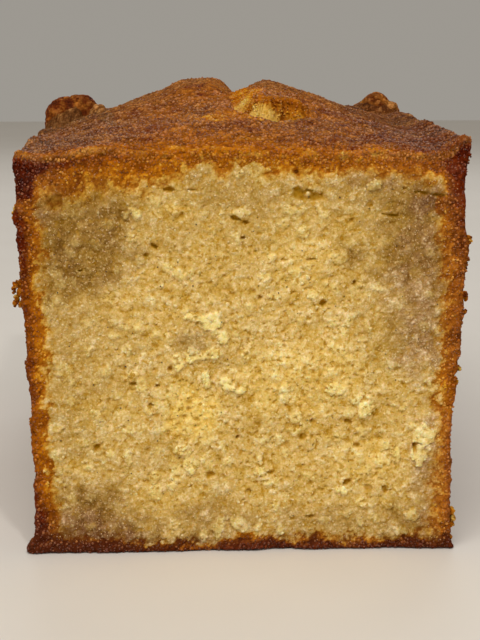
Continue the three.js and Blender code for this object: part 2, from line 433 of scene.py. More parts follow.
def grid_quads(rows: int, columns: int) -> Array:
    """Point numbers of a grid's four-sided faces, turning from the first column to the next row's."""
    number = np.arange(rows * columns).reshape(rows, columns)
    corners = (number[:-1, :-1], number[:-1, 1:], number[1:, 1:], number[1:, :-1])
    return np.stack([corner.ravel() for corner in corners], axis=-1)


@dataclass
class Skin:
    """A surface in millimetres: points, four-sided faces, and one row of marks for each point."""

    points: Array
    quads: Array
    marks: Array

    @classmethod
    def from_grid(cls, points: Array, mark: float = 0.0, flip: bool = False) -> Skin:
        """Makes a skin from rows by columns of points, all with one mark. Flip turns its faces round."""
        rows, columns = points.shape[:2]
        quads = grid_quads(rows, columns)
        return cls(points.reshape(-1, 3), quads[:, ::-1] if flip else quads, np.full(rows * columns, mark))

    @classmethod
    def weld(cls, *skins: Skin) -> Skin:
        """Joins skins where their points meet, by sorting the points rounded to a tenth of a micron."""
        points = np.concatenate([skin.points for skin in skins])
        marks = np.concatenate([skin.marks for skin in skins])
        starts = np.cumsum([0] + [len(skin.points) for skin in skins[:-1]])
        quads = np.concatenate([skin.quads + start for skin, start in zip(skins, starts)])
        keys = np.round(points * 1e4).astype(np.int64)
        _, first, number = np.unique(keys, axis=0, return_index=True, return_inverse=True)
        return cls(points[first], number.reshape(-1)[quads], marks[first])

    def normals(self) -> Array:
        """Unit normal of each point: the sum of the cross products of its faces' diagonals."""
        corner = [self.points[self.quads[:, k]] for k in range(4)]
        face = np.cross(corner[2] - corner[0], corner[3] - corner[1])
        total = np.zeros_like(self.points)
        for axis in range(3):
            total[:, axis] = np.bincount(
                self.quads.ravel(), np.repeat(face[:, axis], 4), minlength=len(self.points)
            )
        return total / np.maximum(np.linalg.norm(total, axis=1, keepdims=True), 1e-12)

    def border(self) -> tuple[Array, Array]:
        """Edges that only one face has: the first and the second point of each, as the face turns."""
        start = self.quads.ravel()
        end = np.roll(self.quads, -1, axis=1).ravel()
        count = len(self.points)
        forward, backward = start * count + end, end * count + start
        alone = ~np.isin(forward, backward)
        return start[alone], end[alone]

    def closed(self, centre: tuple[float, float, float], tuck: float, inset: float) -> Solid:
        """Closes the skin: its border is tucked under the neighbour, then fanned to one point inside.

        Args:
            centre: the point inside the loaf where all the fan's faces meet.
            tuck: how far the border is carried on past the edge.
            inset: how far that strip lies under the surface.

        Returns:
            The closed solid.
        """
        start, end = self.border()
        count = len(self.points)
        rim = np.unique(start)
        slot = np.zeros(count, int)
        slot[rim] = np.arange(len(rim))
        edge = self.points[end] - self.points[start]
        tangent = np.zeros((len(rim), 3))
        np.add.at(tangent, slot[start], edge)
        np.add.at(tangent, slot[end], edge)
        normal = self.normals()[rim]
        outward = np.cross(tangent, normal)
        outward /= np.maximum(np.linalg.norm(outward, axis=1, keepdims=True), 1e-12)
        strip = self.points[rim] + outward * tuck - normal * inset
        points = np.concatenate([self.points, strip, np.array([centre])])
        strip_start, strip_end = count + slot[start], count + slot[end]
        quads = np.concatenate([self.quads, np.stack([end, start, strip_start, strip_end], axis=-1)])
        hub = np.full(len(start), len(points) - 1)
        triangles = np.stack([strip_end, strip_start, hub], axis=-1)
        origin = np.concatenate([np.arange(count), rim, rim[:1]])
        return Solid(points, quads, triangles, origin)


@dataclass
class Solid:
    """A closed shape in millimetres. Origin gives, for each point, the skin point it takes its tint from."""

    points: Array
    quads: Array
    triangles: Array
    origin: Array

    def made(self, name: str, tints: Tints) -> bpy.types.Object:
        """Makes the object, with tints that are given for the skin's points."""
        tinted = {tint: values[self.origin] for tint, values in tints.items()}
        return make_object(name, self.points, self.quads, self.triangles, tinted)


def make_object(name: str, points: Array, quads: Array, triangles: Array, tints: Tints) -> bpy.types.Object:
    """Turns arrays into a smooth-shaded mesh object in metres, with one attribute for each tint.

    Args:
        name: the piece's name.
        points: in millimetres.
        quads: four-sided faces.
        triangles: three-sided faces.
        tints: attribute name to one value a point.

    Returns:
        The object, linked to the scene.
    """
    mesh = bpy.data.meshes.new(name)
    mesh.vertices.add(len(points))
    mesh.vertices.foreach_set("co", (points * MM).astype(np.float32).ravel())
    corners = np.concatenate([quads.ravel(), triangles.ravel()]).astype(np.int32)
    first_triangle = quads.size
    starts = [np.arange(len(quads)) * 4, first_triangle + np.arange(len(triangles)) * 3]
    starts = np.concatenate(starts).astype(np.int32)
    mesh.loops.add(len(corners))
    mesh.loops.foreach_set("vertex_index", corners)
    mesh.polygons.add(len(starts))
    mesh.polygons.foreach_set("loop_start", starts)
    mesh.update(calc_edges=True)
    mesh.polygons.foreach_set("use_smooth", np.ones(len(starts), bool))
    for tint, values in tints.items():
        layer = mesh.attributes.new(tint, "FLOAT", "POINT")
        layer.data.foreach_set("value", np.asarray(values, np.float32).ravel())
    mesh.validate()
    piece = bpy.data.objects.new(name, mesh)
    bpy.context.scene.collection.objects.link(piece)
    return piece


# --- The cut face: crumb relief and how each place is tinted ---


@dataclass(frozen=True)
class Spot:
    """An ellipse on the cut, or on the top by depth: centre, half sizes, strength, turn in degrees."""

    x: float
    z: float
    half_width: float
    half_height: float
    strength: float = 1.0
    turn: float = 0.0

    def share(self, x: Array, z: Array, ragged: Array | float = 0.0) -> Array:
        """1 at the centre and 0 at the ellipse: 1 - reach^2, with ragged added to break its outline."""
        angle = math.radians(self.turn)
        dx, dz = x - self.x, z - self.z
        along = dx * math.cos(angle) + dz * math.sin(angle)
        beside = dz * math.cos(angle) - dx * math.sin(angle)
        return 1 - (along / self.half_width) ** 2 - (beside / self.half_height) ** 2 + ragged


def spots(*rows: tuple[float, ...]) -> tuple[Spot, ...]:
    """Makes a spot of each row of its numbers."""
    return tuple(Spot(*row) for row in rows)


def strongest(
    places: tuple[Spot, ...], outer: float, inner: float, x: Array, z: Array, ragged: Array | float = 0.0
) -> Array:
    """The strongest spot at each point: its strength times the smooth step of its share.

    Args:
        places: the spots.
        outer: the share at which a spot starts.
        inner: the share at which it is at full strength.
        x: across the loaf.
        z: height.
        ragged: what breaks up the spots' outlines.

    Returns:
        0 where there is no spot, up to the spots' strength.
    """
    total = np.zeros_like(x)
    for spot in places:
        total = np.maximum(total, spot.strength * rise(outer, inner, spot.share(x, z, ragged)))
    return total


# Pale clumps of crumb that stand proud of the cut.
CLUMPS = spots(
    (-12.5, 33.5, 3.6, 4.2, 0.3), (-17.5, 37.5, 2.4, 2, 0.25), (-9, 27.5, 2, 2.6, 0.25),
    (-25.3, 79.6, 2, 1.2), (-38.5, 80.8, 2.5, 1.6, 0.35), (-23.4, 68.9, 1, 1.1, 0.4), (-7, 54.8, 2, 1.9),
    (-10.8, 55.7, 2.4, 0.9), (-4.6, 51, 1, 1.4), (-0.8, 79.7, 1.8, 1, 0.5), (-42.5, 59.5, 1.1, 1.3, 0.4),
    (29.3, 85.8, 1.6, 1.3), (13.3, 75, 1.3, 1.1, 0.7), (24, 72.3, 1.6, 1.1, 0.4), (21.5, 69.2, 2, 1.2, 0.45),
    (13, 80.2, 1.5, 0.9, 0.4), (18.5, 63.5, 1.2, 0.9, 0.4), (4.5, 64.8, 1.8, 0.7, 0.5),
    (-15, 45.5, 1.1, 1.7, 0.9), (-11.5, 47, 2.4, 1.6, 0.9), (-7, 47.2, 2, 1.1, 0.8),
    (-8.5, 41, 0.9, 2, 1, 22), (-3.8, 40, 1.4, 1.7), (-1.6, 38.8, 2, 0.9, 1, -25), (-14.8, 24.6, 1.5, 1.2),
    (-12.6, 20.8, 1.5, 1.8), (-16, 20, 1.3, 2.4, 0.6), (-4, 21.5, 0.9, 1.4, 0.6),
    (-26.9, 22.8, 0.9, 2.1, 0.7), (-30.6, 24, 0.8, 1.1, 0.5), (-41.2, 44, 1.7, 1.5, 0.5),
    (-31, 43.8, 1.1, 1.4, 0.6), (-23.5, 40.2, 1.2, 1.4, 0.6), (-43.5, 24, 1.6, 1.3, 0.6),
    (-43, 30.2, 1.8, 0.9, 0.5), (-20.5, 14.2, 1.4, 1.8, 0.6), (-20.8, 18.2, 1.1, 1.3, 0.6),
    (-21.9, 34, 0.8, 1.2, 0.6), (-5.8, 5.5, 1, 2.2, 0.8, -15), (-9.2, 3.6, 0.9, 1.5, 0.7),
    (-1.2, 7, 1.8, 1.3, 0.9), (-16.3, 6.5, 1.3, 1.1, 0.4), (21, 39, 2.2, 1.1), (9.2, 39, 1.6, 1, 0.6),
    (27.8, 34, 2.1, 1.6), (25.6, 36.2, 1.1, 0.9, 0.7), (11.8, 31.8, 1.3, 1.4, 0.6),
    (5.8, 30.8, 1.1, 1.5, 0.5), (41.9, 27.6, 2.4, 2.2), (41, 23, 1.6, 2.6, 0.9), (32.3, 25, 1.3, 1.2, 0.7),
    (35.3, 23.2, 0.8, 1.9, 0.9, 12), (32.2, 21.8, 1.6, 1.5, 0.5), (22.8, 14.6, 1.1, 1.2),
    (39.4, 8.3, 1.3, 1.2, 0.8), (3.8, 19.3, 1.1, 1.1, 0.7), (0.8, 46.7, 1.4, 1.3, 0.7),
    (37, 4.3, 1.2, 1, 0.7), (27.5, 6.8, 0.9, 0.9, 0.6),
)

# Holes that the cut opened.
HOLES = spots(
    (-42.5, 82, 2.6, 1.9, 0.6), (-16.5, 84.8, 1.5, 0.6), (-11.3, 84.7, 1.5, 0.45), (-13.8, 79, 0.8, 0.8, 0.7),
    (-1.8, 78.4, 1.5, 0.6, 1, -20), (0.4, 77.4, 1, 0.6, 1), (-20.2, 72, 1.4, 0.7, 1, -35),
    (-22, 70, 0.7, 0.5, 0.8), (-37, 66.6, 1, 0.4), (-0.2, 73.8, 0.7, 0.35), (12.5, 83.7, 2.2, 1.7, 0.9),
    (16.3, 83.1, 2, 1.2, 0.8, 10), (28.3, 81.2, 1, 1.1, 0.7), (33.5, 78.8, 2.6, 0.45, 0.8, -6),
    (24.2, 77.5, 1.4, 0.7, 0.6, 30), (11.7, 88.6, 0.7, 0.6, 0.8), (40.6, 83.8, 2.6, 0.6, 0.9, -8),
    (18.1, 58.7, 0.9, 0.8), (44, 83.3, 2.2, 0.6, 0.8, -16), (11.8, 84.9, 1.2, 0.4),
    (14.5, 84.5, 1.4, 0.35, 1, -8), (25.2, 63, 0.7, 0.8, 0.8), (6.5, 59.5, 0.9, 0.5, 0.8),
    (3.6, 60, 0.7, 0.5, 0.7), (15.2, 68.9, 1.6, 0.4, 0.7), (9.2, 68.8, 1, 0.4, 0.6),
    (36.2, 84.8, 0.9, 0.6, 0.6), (-33.5, 25.8, 1.6, 0.7, 1, 42), (-16.8, 43.8, 0.8, 0.8, 0.9),
    (-25.3, 40.3, 0.9, 0.8, 0.8), (-19.6, 39.8, 0.8, 0.4, 0.9), (-1.4, 27.4, 0.9, 0.5, 1, 35),
    (-12.8, 34.4, 0.8, 0.5, 0.7), (-21.2, 35.4, 0.8, 0.4, 0.7), (-14.8, 22.7, 0.7, 0.5, 0.9),
    (-8, 18.5, 1.6, 0.9, 0.7), (15.9, 31.1, 0.8, 0.6, 0.9), (24, 31, 1, 0.6, 0.8, -30),
    (13.6, 27.4, 1, 1, 0.8), (26, 25.5, 1.1, 0.8, 0.8), (24.2, 16.5, 1.3, 0.8, 0.9, 30),
    (32.7, 14.6, 0.8, 1.2, 0.8, 20), (29, 15, 1.2, 0.9, 0.6), (6.2, 18.8, 0.9, 0.6, 0.8),
    (1.2, 14.2, 1, 0.6, 0.7), (15.8, 8.1, 1.4, 0.6, 0.8), (39.6, 24.5, 0.5, 1.8, 0.9),
    (10, 25.3, 1.1, 1.1, 0.6),
)

# Dark crust that reaches into the cut, and brown stains in the crumb.
SMEARS = spots(
    (-48.6, 85, 2.2, 3.4, 0.85), (-47.2, 89.6, 6.4, 3, 0.95, 44), (47.6, 89, 3.4, 2.2, 0.9, -35),
    (44.8, 80.8, 2, 2.4, 0.4),
)
STAINS = spots(
    (42.2, 82.2, 4.8, 1.8, 0.42, -12), (44.6, 80.4, 3.2, 3, 0.5), (-42.5, 82, 3, 2.2, 0.34),
    (-38, 87, 10, 3.2, 0.32), (-45.5, 80, 2.4, 3, 0.2), (-12.3, 50.3, 3.6, 2.2, 0.1),
)

# Damp, greyer crumb, where it is mauve, and the patches that are yellowest.
ROSE_ZONES = spots(
    (46, 60, 15, 28, 0.4), (-41, 3, 26, 9, 0.55), (-46, 84, 8, 8, 0.4), (43, 82, 8, 6, 0.5),
    (34, 88, 20, 4, 0.3), (6, 1, 40, 4, 0.3), (46, 18, 9, 25, 0.5),
)
DAMP_ZONES = spots(
    (-41.5, 77, 21.5, 20, 1), (-44, 45, 22, 28, 0.5), (-40, 7, 23, 13, 1), (-5, 4, 14, 11, 0.6),
    (22, 3, 32, 8, 0.6), (42, 5, 14, 9, 0.85), (48, 22, 10, 16, 0.4), (44, 56, 20, 16, 0.7),
    (44, 72, 23, 22, 0.94), (36, 84, 18, 9, 0.78), (-4, 86, 20, 9, 0.52), (0, 82, 52, 12, 0.27),
    (20, 89, 34, 7, 0.5), (-11, 88.5, 5, 5.5, 0.7), (-12.5, 50.5, 5.2, 4, 0.55), (-23, 25, 12, 8, 0.2),
    (-19, 76, 9, 8, 0.35),
)
YOLK_ZONES = spots(
    (-11.5, 33, 9, 8, 1), (-13, 38, 5, 5, 0.7), (12, 42, 20, 12, 0.5), (27, 22, 9, 7, 0.5),
    (12, 70, 9, 14, 0.3), (3.5, 88, 3.5, 3.5, 0.6), (14.5, 88.5, 3, 2.5, 0.8), (-33, 40, 12, 20, 0.3),
    (-15, 80, 8, 5, 0.35),
)

# How wide the browned rim of the cut is, and how dark: by height on the sides, by X along the top
# and the base. Each entry is a place, the width of its dark band, its darkness, and the width of
# the amber fade behind it.
LEFT_RIM = (
    (0, 4.5, 0.82, 8), (8, 3.6, 0.76, 7.4), (13, 2.8, 0.64, 7), (18, 2.8, 0.64, 6), (22, 2.6, 0.52, 5.4),
    (27, 2.8, 0.56, 7.4), (32, 2.2, 0.52, 5.4), (38, 1.8, 0.56, 5.6), (43, 2.4, 0.62, 7),
    (48, 2.9, 0.62, 8.2), (54, 3, 0.62, 6.8), (61, 2.8, 0.62, 5.8), (66, 2.4, 0.66, 8.2),
    (72, 2.9, 0.74, 7.4), (77, 3.2, 0.78, 7.4), (79.5, 2.8, 0.64, 6.2), (81.5, 2.6, 0.42, 5.8),
    (84, 4, 0.84, 9.5), (94, 5.4, 0.86, 8.6),
)
RIGHT_RIM = (
    (0, 2.8, 0.64, 7), (5, 3, 0.44, 8), (10, 2.3, 0.5, 7.4), (16, 2.1, 0.52, 7), (21, 1.8, 0.5, 6.2),
    (27, 1.7, 0.48, 6), (34, 2, 0.5, 5.6), (38, 2.8, 0.5, 7.8), (45, 2.2, 0.5, 5.8), (52, 2.6, 0.5, 6.4),
    (60, 3, 0.5, 7.2), (66, 3.4, 0.5, 8.2), (70, 3.4, 0.52, 9.2), (76, 4.4, 0.62, 9), (82, 4.4, 0.7, 8.2),
    (86, 4.8, 0.85, 7.6), (94, 8, 0.92, 9.6),
)
TOP_RIM = (
    (-50, 4, 0.86, 8), (-44, 4.4, 0.82, 15), (-37, 4.4, 0.76, 15), (-28, 4, 0.64, 14), (-22, 3.2, 0.52, 12.5),
    (-18, 2.4, 0.44, 10.5), (-13.5, 1.8, 0.42, 8), (-11, 1.3, 0.38, 5), (-7.6, 1.4, 0.38, 5.6),
    (-5.4, 2.2, 0.46, 11), (-3.4, 2, 0.46, 10.4), (-1.8, 1.2, 0.42, 4.4), (2.6, 1.2, 0.42, 4.6),
    (5, 2.2, 0.5, 8.4), (9, 2.4, 0.5, 8.4), (14, 2.1, 0.48, 8.8), (22, 2.5, 0.52, 7.6), (32, 2.9, 0.55, 8),
    (40, 3.8, 0.62, 8.4), (46, 5.4, 0.84, 8.6), (51, 5.8, 0.92, 8.6),
)
BASE_RIM = (
    (-50, 3.6, 0.86, 5), (-32, 3, 0.84, 4.4), (-24, 1.9, 0.74, 3.6), (-14, 1.6, 0.7, 3.4),
    (-8, 1.3, 0.72, 3.4), (-4, 3.2, 0.82, 4.6), (2, 3, 0.86, 5.4), (10, 2, 0.88, 5.4), (24, 1.9, 0.76, 5),
    (36, 2.4, 0.84, 5), (50, 2.8, 0.84, 5.5),
)


@dataclass(frozen=True)
class CutFace:
    """The crumb where the knife went through: its relief and its tints, at any X and Z."""

    form: LoafForm
    clump_height: float = 0.7
    hole_depth: float = 1.1
    pore_depth: float = 0.42
    lip_radius: float = 0.7
    pore_sorts: tuple[tuple[float, ...], ...] = ((2.9, 43, -0.25, 0.15), (1.5, 44, 0.42, 0.18))

    def edges(self, x: Array, z: Array) -> dict[str, Array]:
        """Distances in from the left, right, top and bottom of the section, at points of the cut."""
        here = np.zeros_like(x)
        rim = self.form.rim_height
        up = np.clip(z / rim, 0, 1)
        return {
            "left": x + self.form.side_distance(up, here, Side.LEFT),
            "right": self.form.side_distance(up, here, Side.RIGHT) - x,
            "top": self.form.top_height(x, here) - z,
            "bottom": z,
        }

    def inside(self, x: Array, z: Array) -> Array:
        """Distance in from the nearest edge of the section."""
        return np.minimum.reduce(list(self.edges(x, z).values()))

    def clump_share(self, x: Array, z: Array) -> Array:
        """How much of a pale clump a place is: the steep edge of each ragged ellipse."""
        ragged = layers(((0.75, 1.5, 31), (0.6, 0.75, 32)), x, z)
        distance, value = grains(3.1, 33, x + ragged, z - 0.7 * ragged)
        small = rise(0.42, 0.26, distance) * 0.5 * rise(0.5, 0.7, value)
        return np.maximum(strongest(CLUMPS, -0.25, 0.1, x, z, ragged), small)

    def hole_share(self, x: Array, z: Array) -> Array:
        """How deep in a named hole a place is."""
        return strongest(HOLES, 0.0, 0.8, x, z, layers(((0.5, 1.1, 35), (0.25, 0.5, 36)), x, z))

    def damp_share(self, x: Array, z: Array) -> Array:
        """How damp and close the crumb is."""
        return strongest(DAMP_ZONES, -0.3, 0.95, x, z, layers(((0.3, 5.0, 61), (0.25, 2.2, 62)), x, z))

    def stain_share(self, x: Array, z: Array) -> Array:
        """How stained the crumb is: soft brown patches."""
        return strongest(STAINS, -0.2, 0.9, x, z, layers(((0.3, 2.0, 67), (0.2, 0.9, 68)), x, z))

    def rose_share(self, x: Array, z: Array) -> Array:
        """How mauve the crumb is."""
        return strongest(ROSE_ZONES, 0.0, 1.0, x, z, layers(((0.4, 3.0, 64), (0.25, 1.2, 65)), x, z))

    def pore_share(self, x: Array, z: Array) -> Array:
        """How deep in one of the many small pores a place is: some grains of two jittered lattices."""
        warp_x = x + 0.42 * unevenness(1.1, 41, x, z) + 0.2 * unevenness(0.5, 45, x, z)
        warp_z = z + 0.42 * unevenness(1.1, 42, x, z) + 0.2 * unevenness(0.5, 46, x, z)
        total = np.zeros_like(x)
        for cell, seed, rare, fat in self.pore_sorts:
            distance, chance = grains(cell, seed, warp_x, warp_z * 1.2)
            size = fat * (0.7 + 0.75 * np.clip((chance - rare) / (1 - rare), 0, 1) ** 2)
            total = np.maximum(total, rise(size * 1.5, size * 0.4, distance) * (chance > rare))
        return total * (1 - 0.75 * self.damp_share(x, z))

    def granules(self, x: Array, z: Array) -> tuple[Array, Array]:
        """The crumb's granules, with their outlines bent: their height, and a tone of their own."""
        warp_x = x + 0.5 * unevenness(1.9, 26, x, z) + 0.22 * unevenness(0.8, 27, x, z)
        warp_z = z + 0.5 * unevenness(1.9, 28, x, z) + 0.22 * unevenness(0.8, 29, x, z)
        return CRUMB_GRANULES.at(warp_x, warp_z)

    def relief(self, x: Array, z: Array) -> Array:
        """Depth of the crumb behind the flat cut: waves, granules, pores, holes and clumps.

        Args:
            x: across the loaf.
            z: height.

        Returns:
            Millimetres, where + stands back into the loaf.
        """
        lumps = layers(((0.26, 5.3, 21), (0.12, 2.3, 22)), x, z)
        height, _ = self.granules(x, z)
        sunk = self.pore_depth * self.pore_share(x, z) + self.hole_depth * self.hole_share(x, z)
        edge = self.edges(x, z)
        rim = rise(3.5, 1.0, np.minimum.reduce([edge["left"], edge["right"], edge["top"]]))
        raised = height * (1 + 0.8 * rim) + self.clump_height * self.clump_share(x, z)
        return self.form.cut_relief(x, z) + 0.45 + lumps + sunk - raised

    def browning(self, x: Array, z: Array, edge: dict[str, Array], tone: Array) -> Array:
        """How browned a place is: each rim's dark band and its amber fade, broken up by the granules.

        Args:
            x: across the loaf.
            z: height.
            edge: distances to the four rims.
            tone: the granules' tone, so that a rim ends between granules and not through them.

        Returns:
            0 for crumb, up to 1 for the darkest crust.
        """
        wander = layers(((0.5, 3.3, 51), (0.4, 1.4, 52)), x, z) + 1.6 * (tone - 0.5)
        mottle = unevenness(2.2, 54, x, z) + 2.4 * (tone - 0.5)
        brown = np.zeros_like(x)
        for name, rim, along in (
            ("left", LEFT_RIM, z), ("right", RIGHT_RIM, z), ("top", TOP_RIM, x), ("bottom", BASE_RIM, x),
        ):
            place, width, dark, fade = (np.array(column) for column in zip(*rim))
            near = edge[name] + wander
            wide, deep, far = (np.interp(along, place, column) for column in (width, dark, fade))
            skin = 1.1 - 0.32 * rise(0.15, 0.95, near / wide) + 0.1 * mottle
            band = np.minimum(deep * skin, 1.0) * (1 - rise(0.75, 1.35, near / wide))
            reach = (near - wide * 0.6 + 0.9 * mottle) / (far - wide * 0.6)
            amber = (0.45 - 0.09 * rise(40, 28, z) * (x > 30)) * (1 - rise(0.0, 1.15, reach))
            brown = np.maximum(brown, np.maximum(band, amber))
        brown = np.maximum(brown, strongest(SMEARS, 0.0, 0.6, x, z, 0.35 * wander + 0.2 * mottle))
        # Along the top edge the brown is held below a cap, lighter except at the corners: partly the crust's
        # own golden lip, partly painted light on the rounded lip.
        lit_fringe = rise(2.4, 1.0, edge["top"] + 0.6 * wander)
        corner = rise(37, 46, x) + 0.4 * rise(37, 46, -x)
        return blend(brown, np.minimum(brown, 0.4 + 0.18 * mottle + 0.22 * corner), lit_fringe)

    def tints(self, x: Array, z: Array) -> Tints:
        """All the tints of the cut face: an array from 0 to 1 for each."""
        edge = self.edges(x, z)
        tone = self.granules(x, z)[1]
        soft = layers(((0.3, 5.0, 61), (0.25, 2.2, 62)), x, z) + 0.3 * (tone - 0.5)
        holes = self.hole_share(x, z)
        corner = Spot(-42, 0, 24, 10).share(x, z)
        reach = 5.0 + 3.0 * rise(0.0, 0.8, corner)
        char = edge["bottom"] + 0.9 * unevenness(2.5, 63, x, z) + 2.4 * (tone - 0.5)
        damp = self.damp_share(x, z)
        return {
            "brown": self.browning(x, z, edge, tone),
            # Painted shade in pores and holes.
            "hollow_shade": np.clip(0.85 * self.pore_share(x, z) + holes, 0, 1),
            "pale": self.clump_share(x, z) * (1 - 0.7 * damp),
            "damp": np.clip(damp + 0.2 * (tone - 0.5), 0, 1),
            "yolk": strongest(YOLK_ZONES, 0.0, 1.0, x, z, soft),
            "scorch": np.maximum(1 - rise(0.0, 1.0, (char - 1.5) / (reach - 1.5)), self.stain_share(x, z)),
            # Darker tone in the named holes: painted shade.
            "tone": np.clip(
                tone - 0.3 * holes - 0.12 * rise(0.0, 1.0, corner) - 0.2 * rise(0.45, 1.1, damp), 0, 1
            ),
            # Painted grey sheen along the top lip, more of it towards the corners.
            "dust": 0.45 * rise(2.4, 0.9, edge["top"] + 0.8 * (tone - 0.5)) * rise(12, 38, np.abs(x)),
            "rose": self.rose_share(x, z),
        }


# --- The outer crust: relief and tints, at any point of the loaf's outside ---


# Places on the top, by X and depth: paler and darker crust, an orange patch, and the short fold.
PALER_TOP, DARKER_TOP, KINDLED, FOLD = spots(
    (-13, 5, 20, 10), (38, 12, 9, 16), (-1.5, 20.5, 8, 5), (-32.6, 51, 2, 17, 1, 7.6)
)


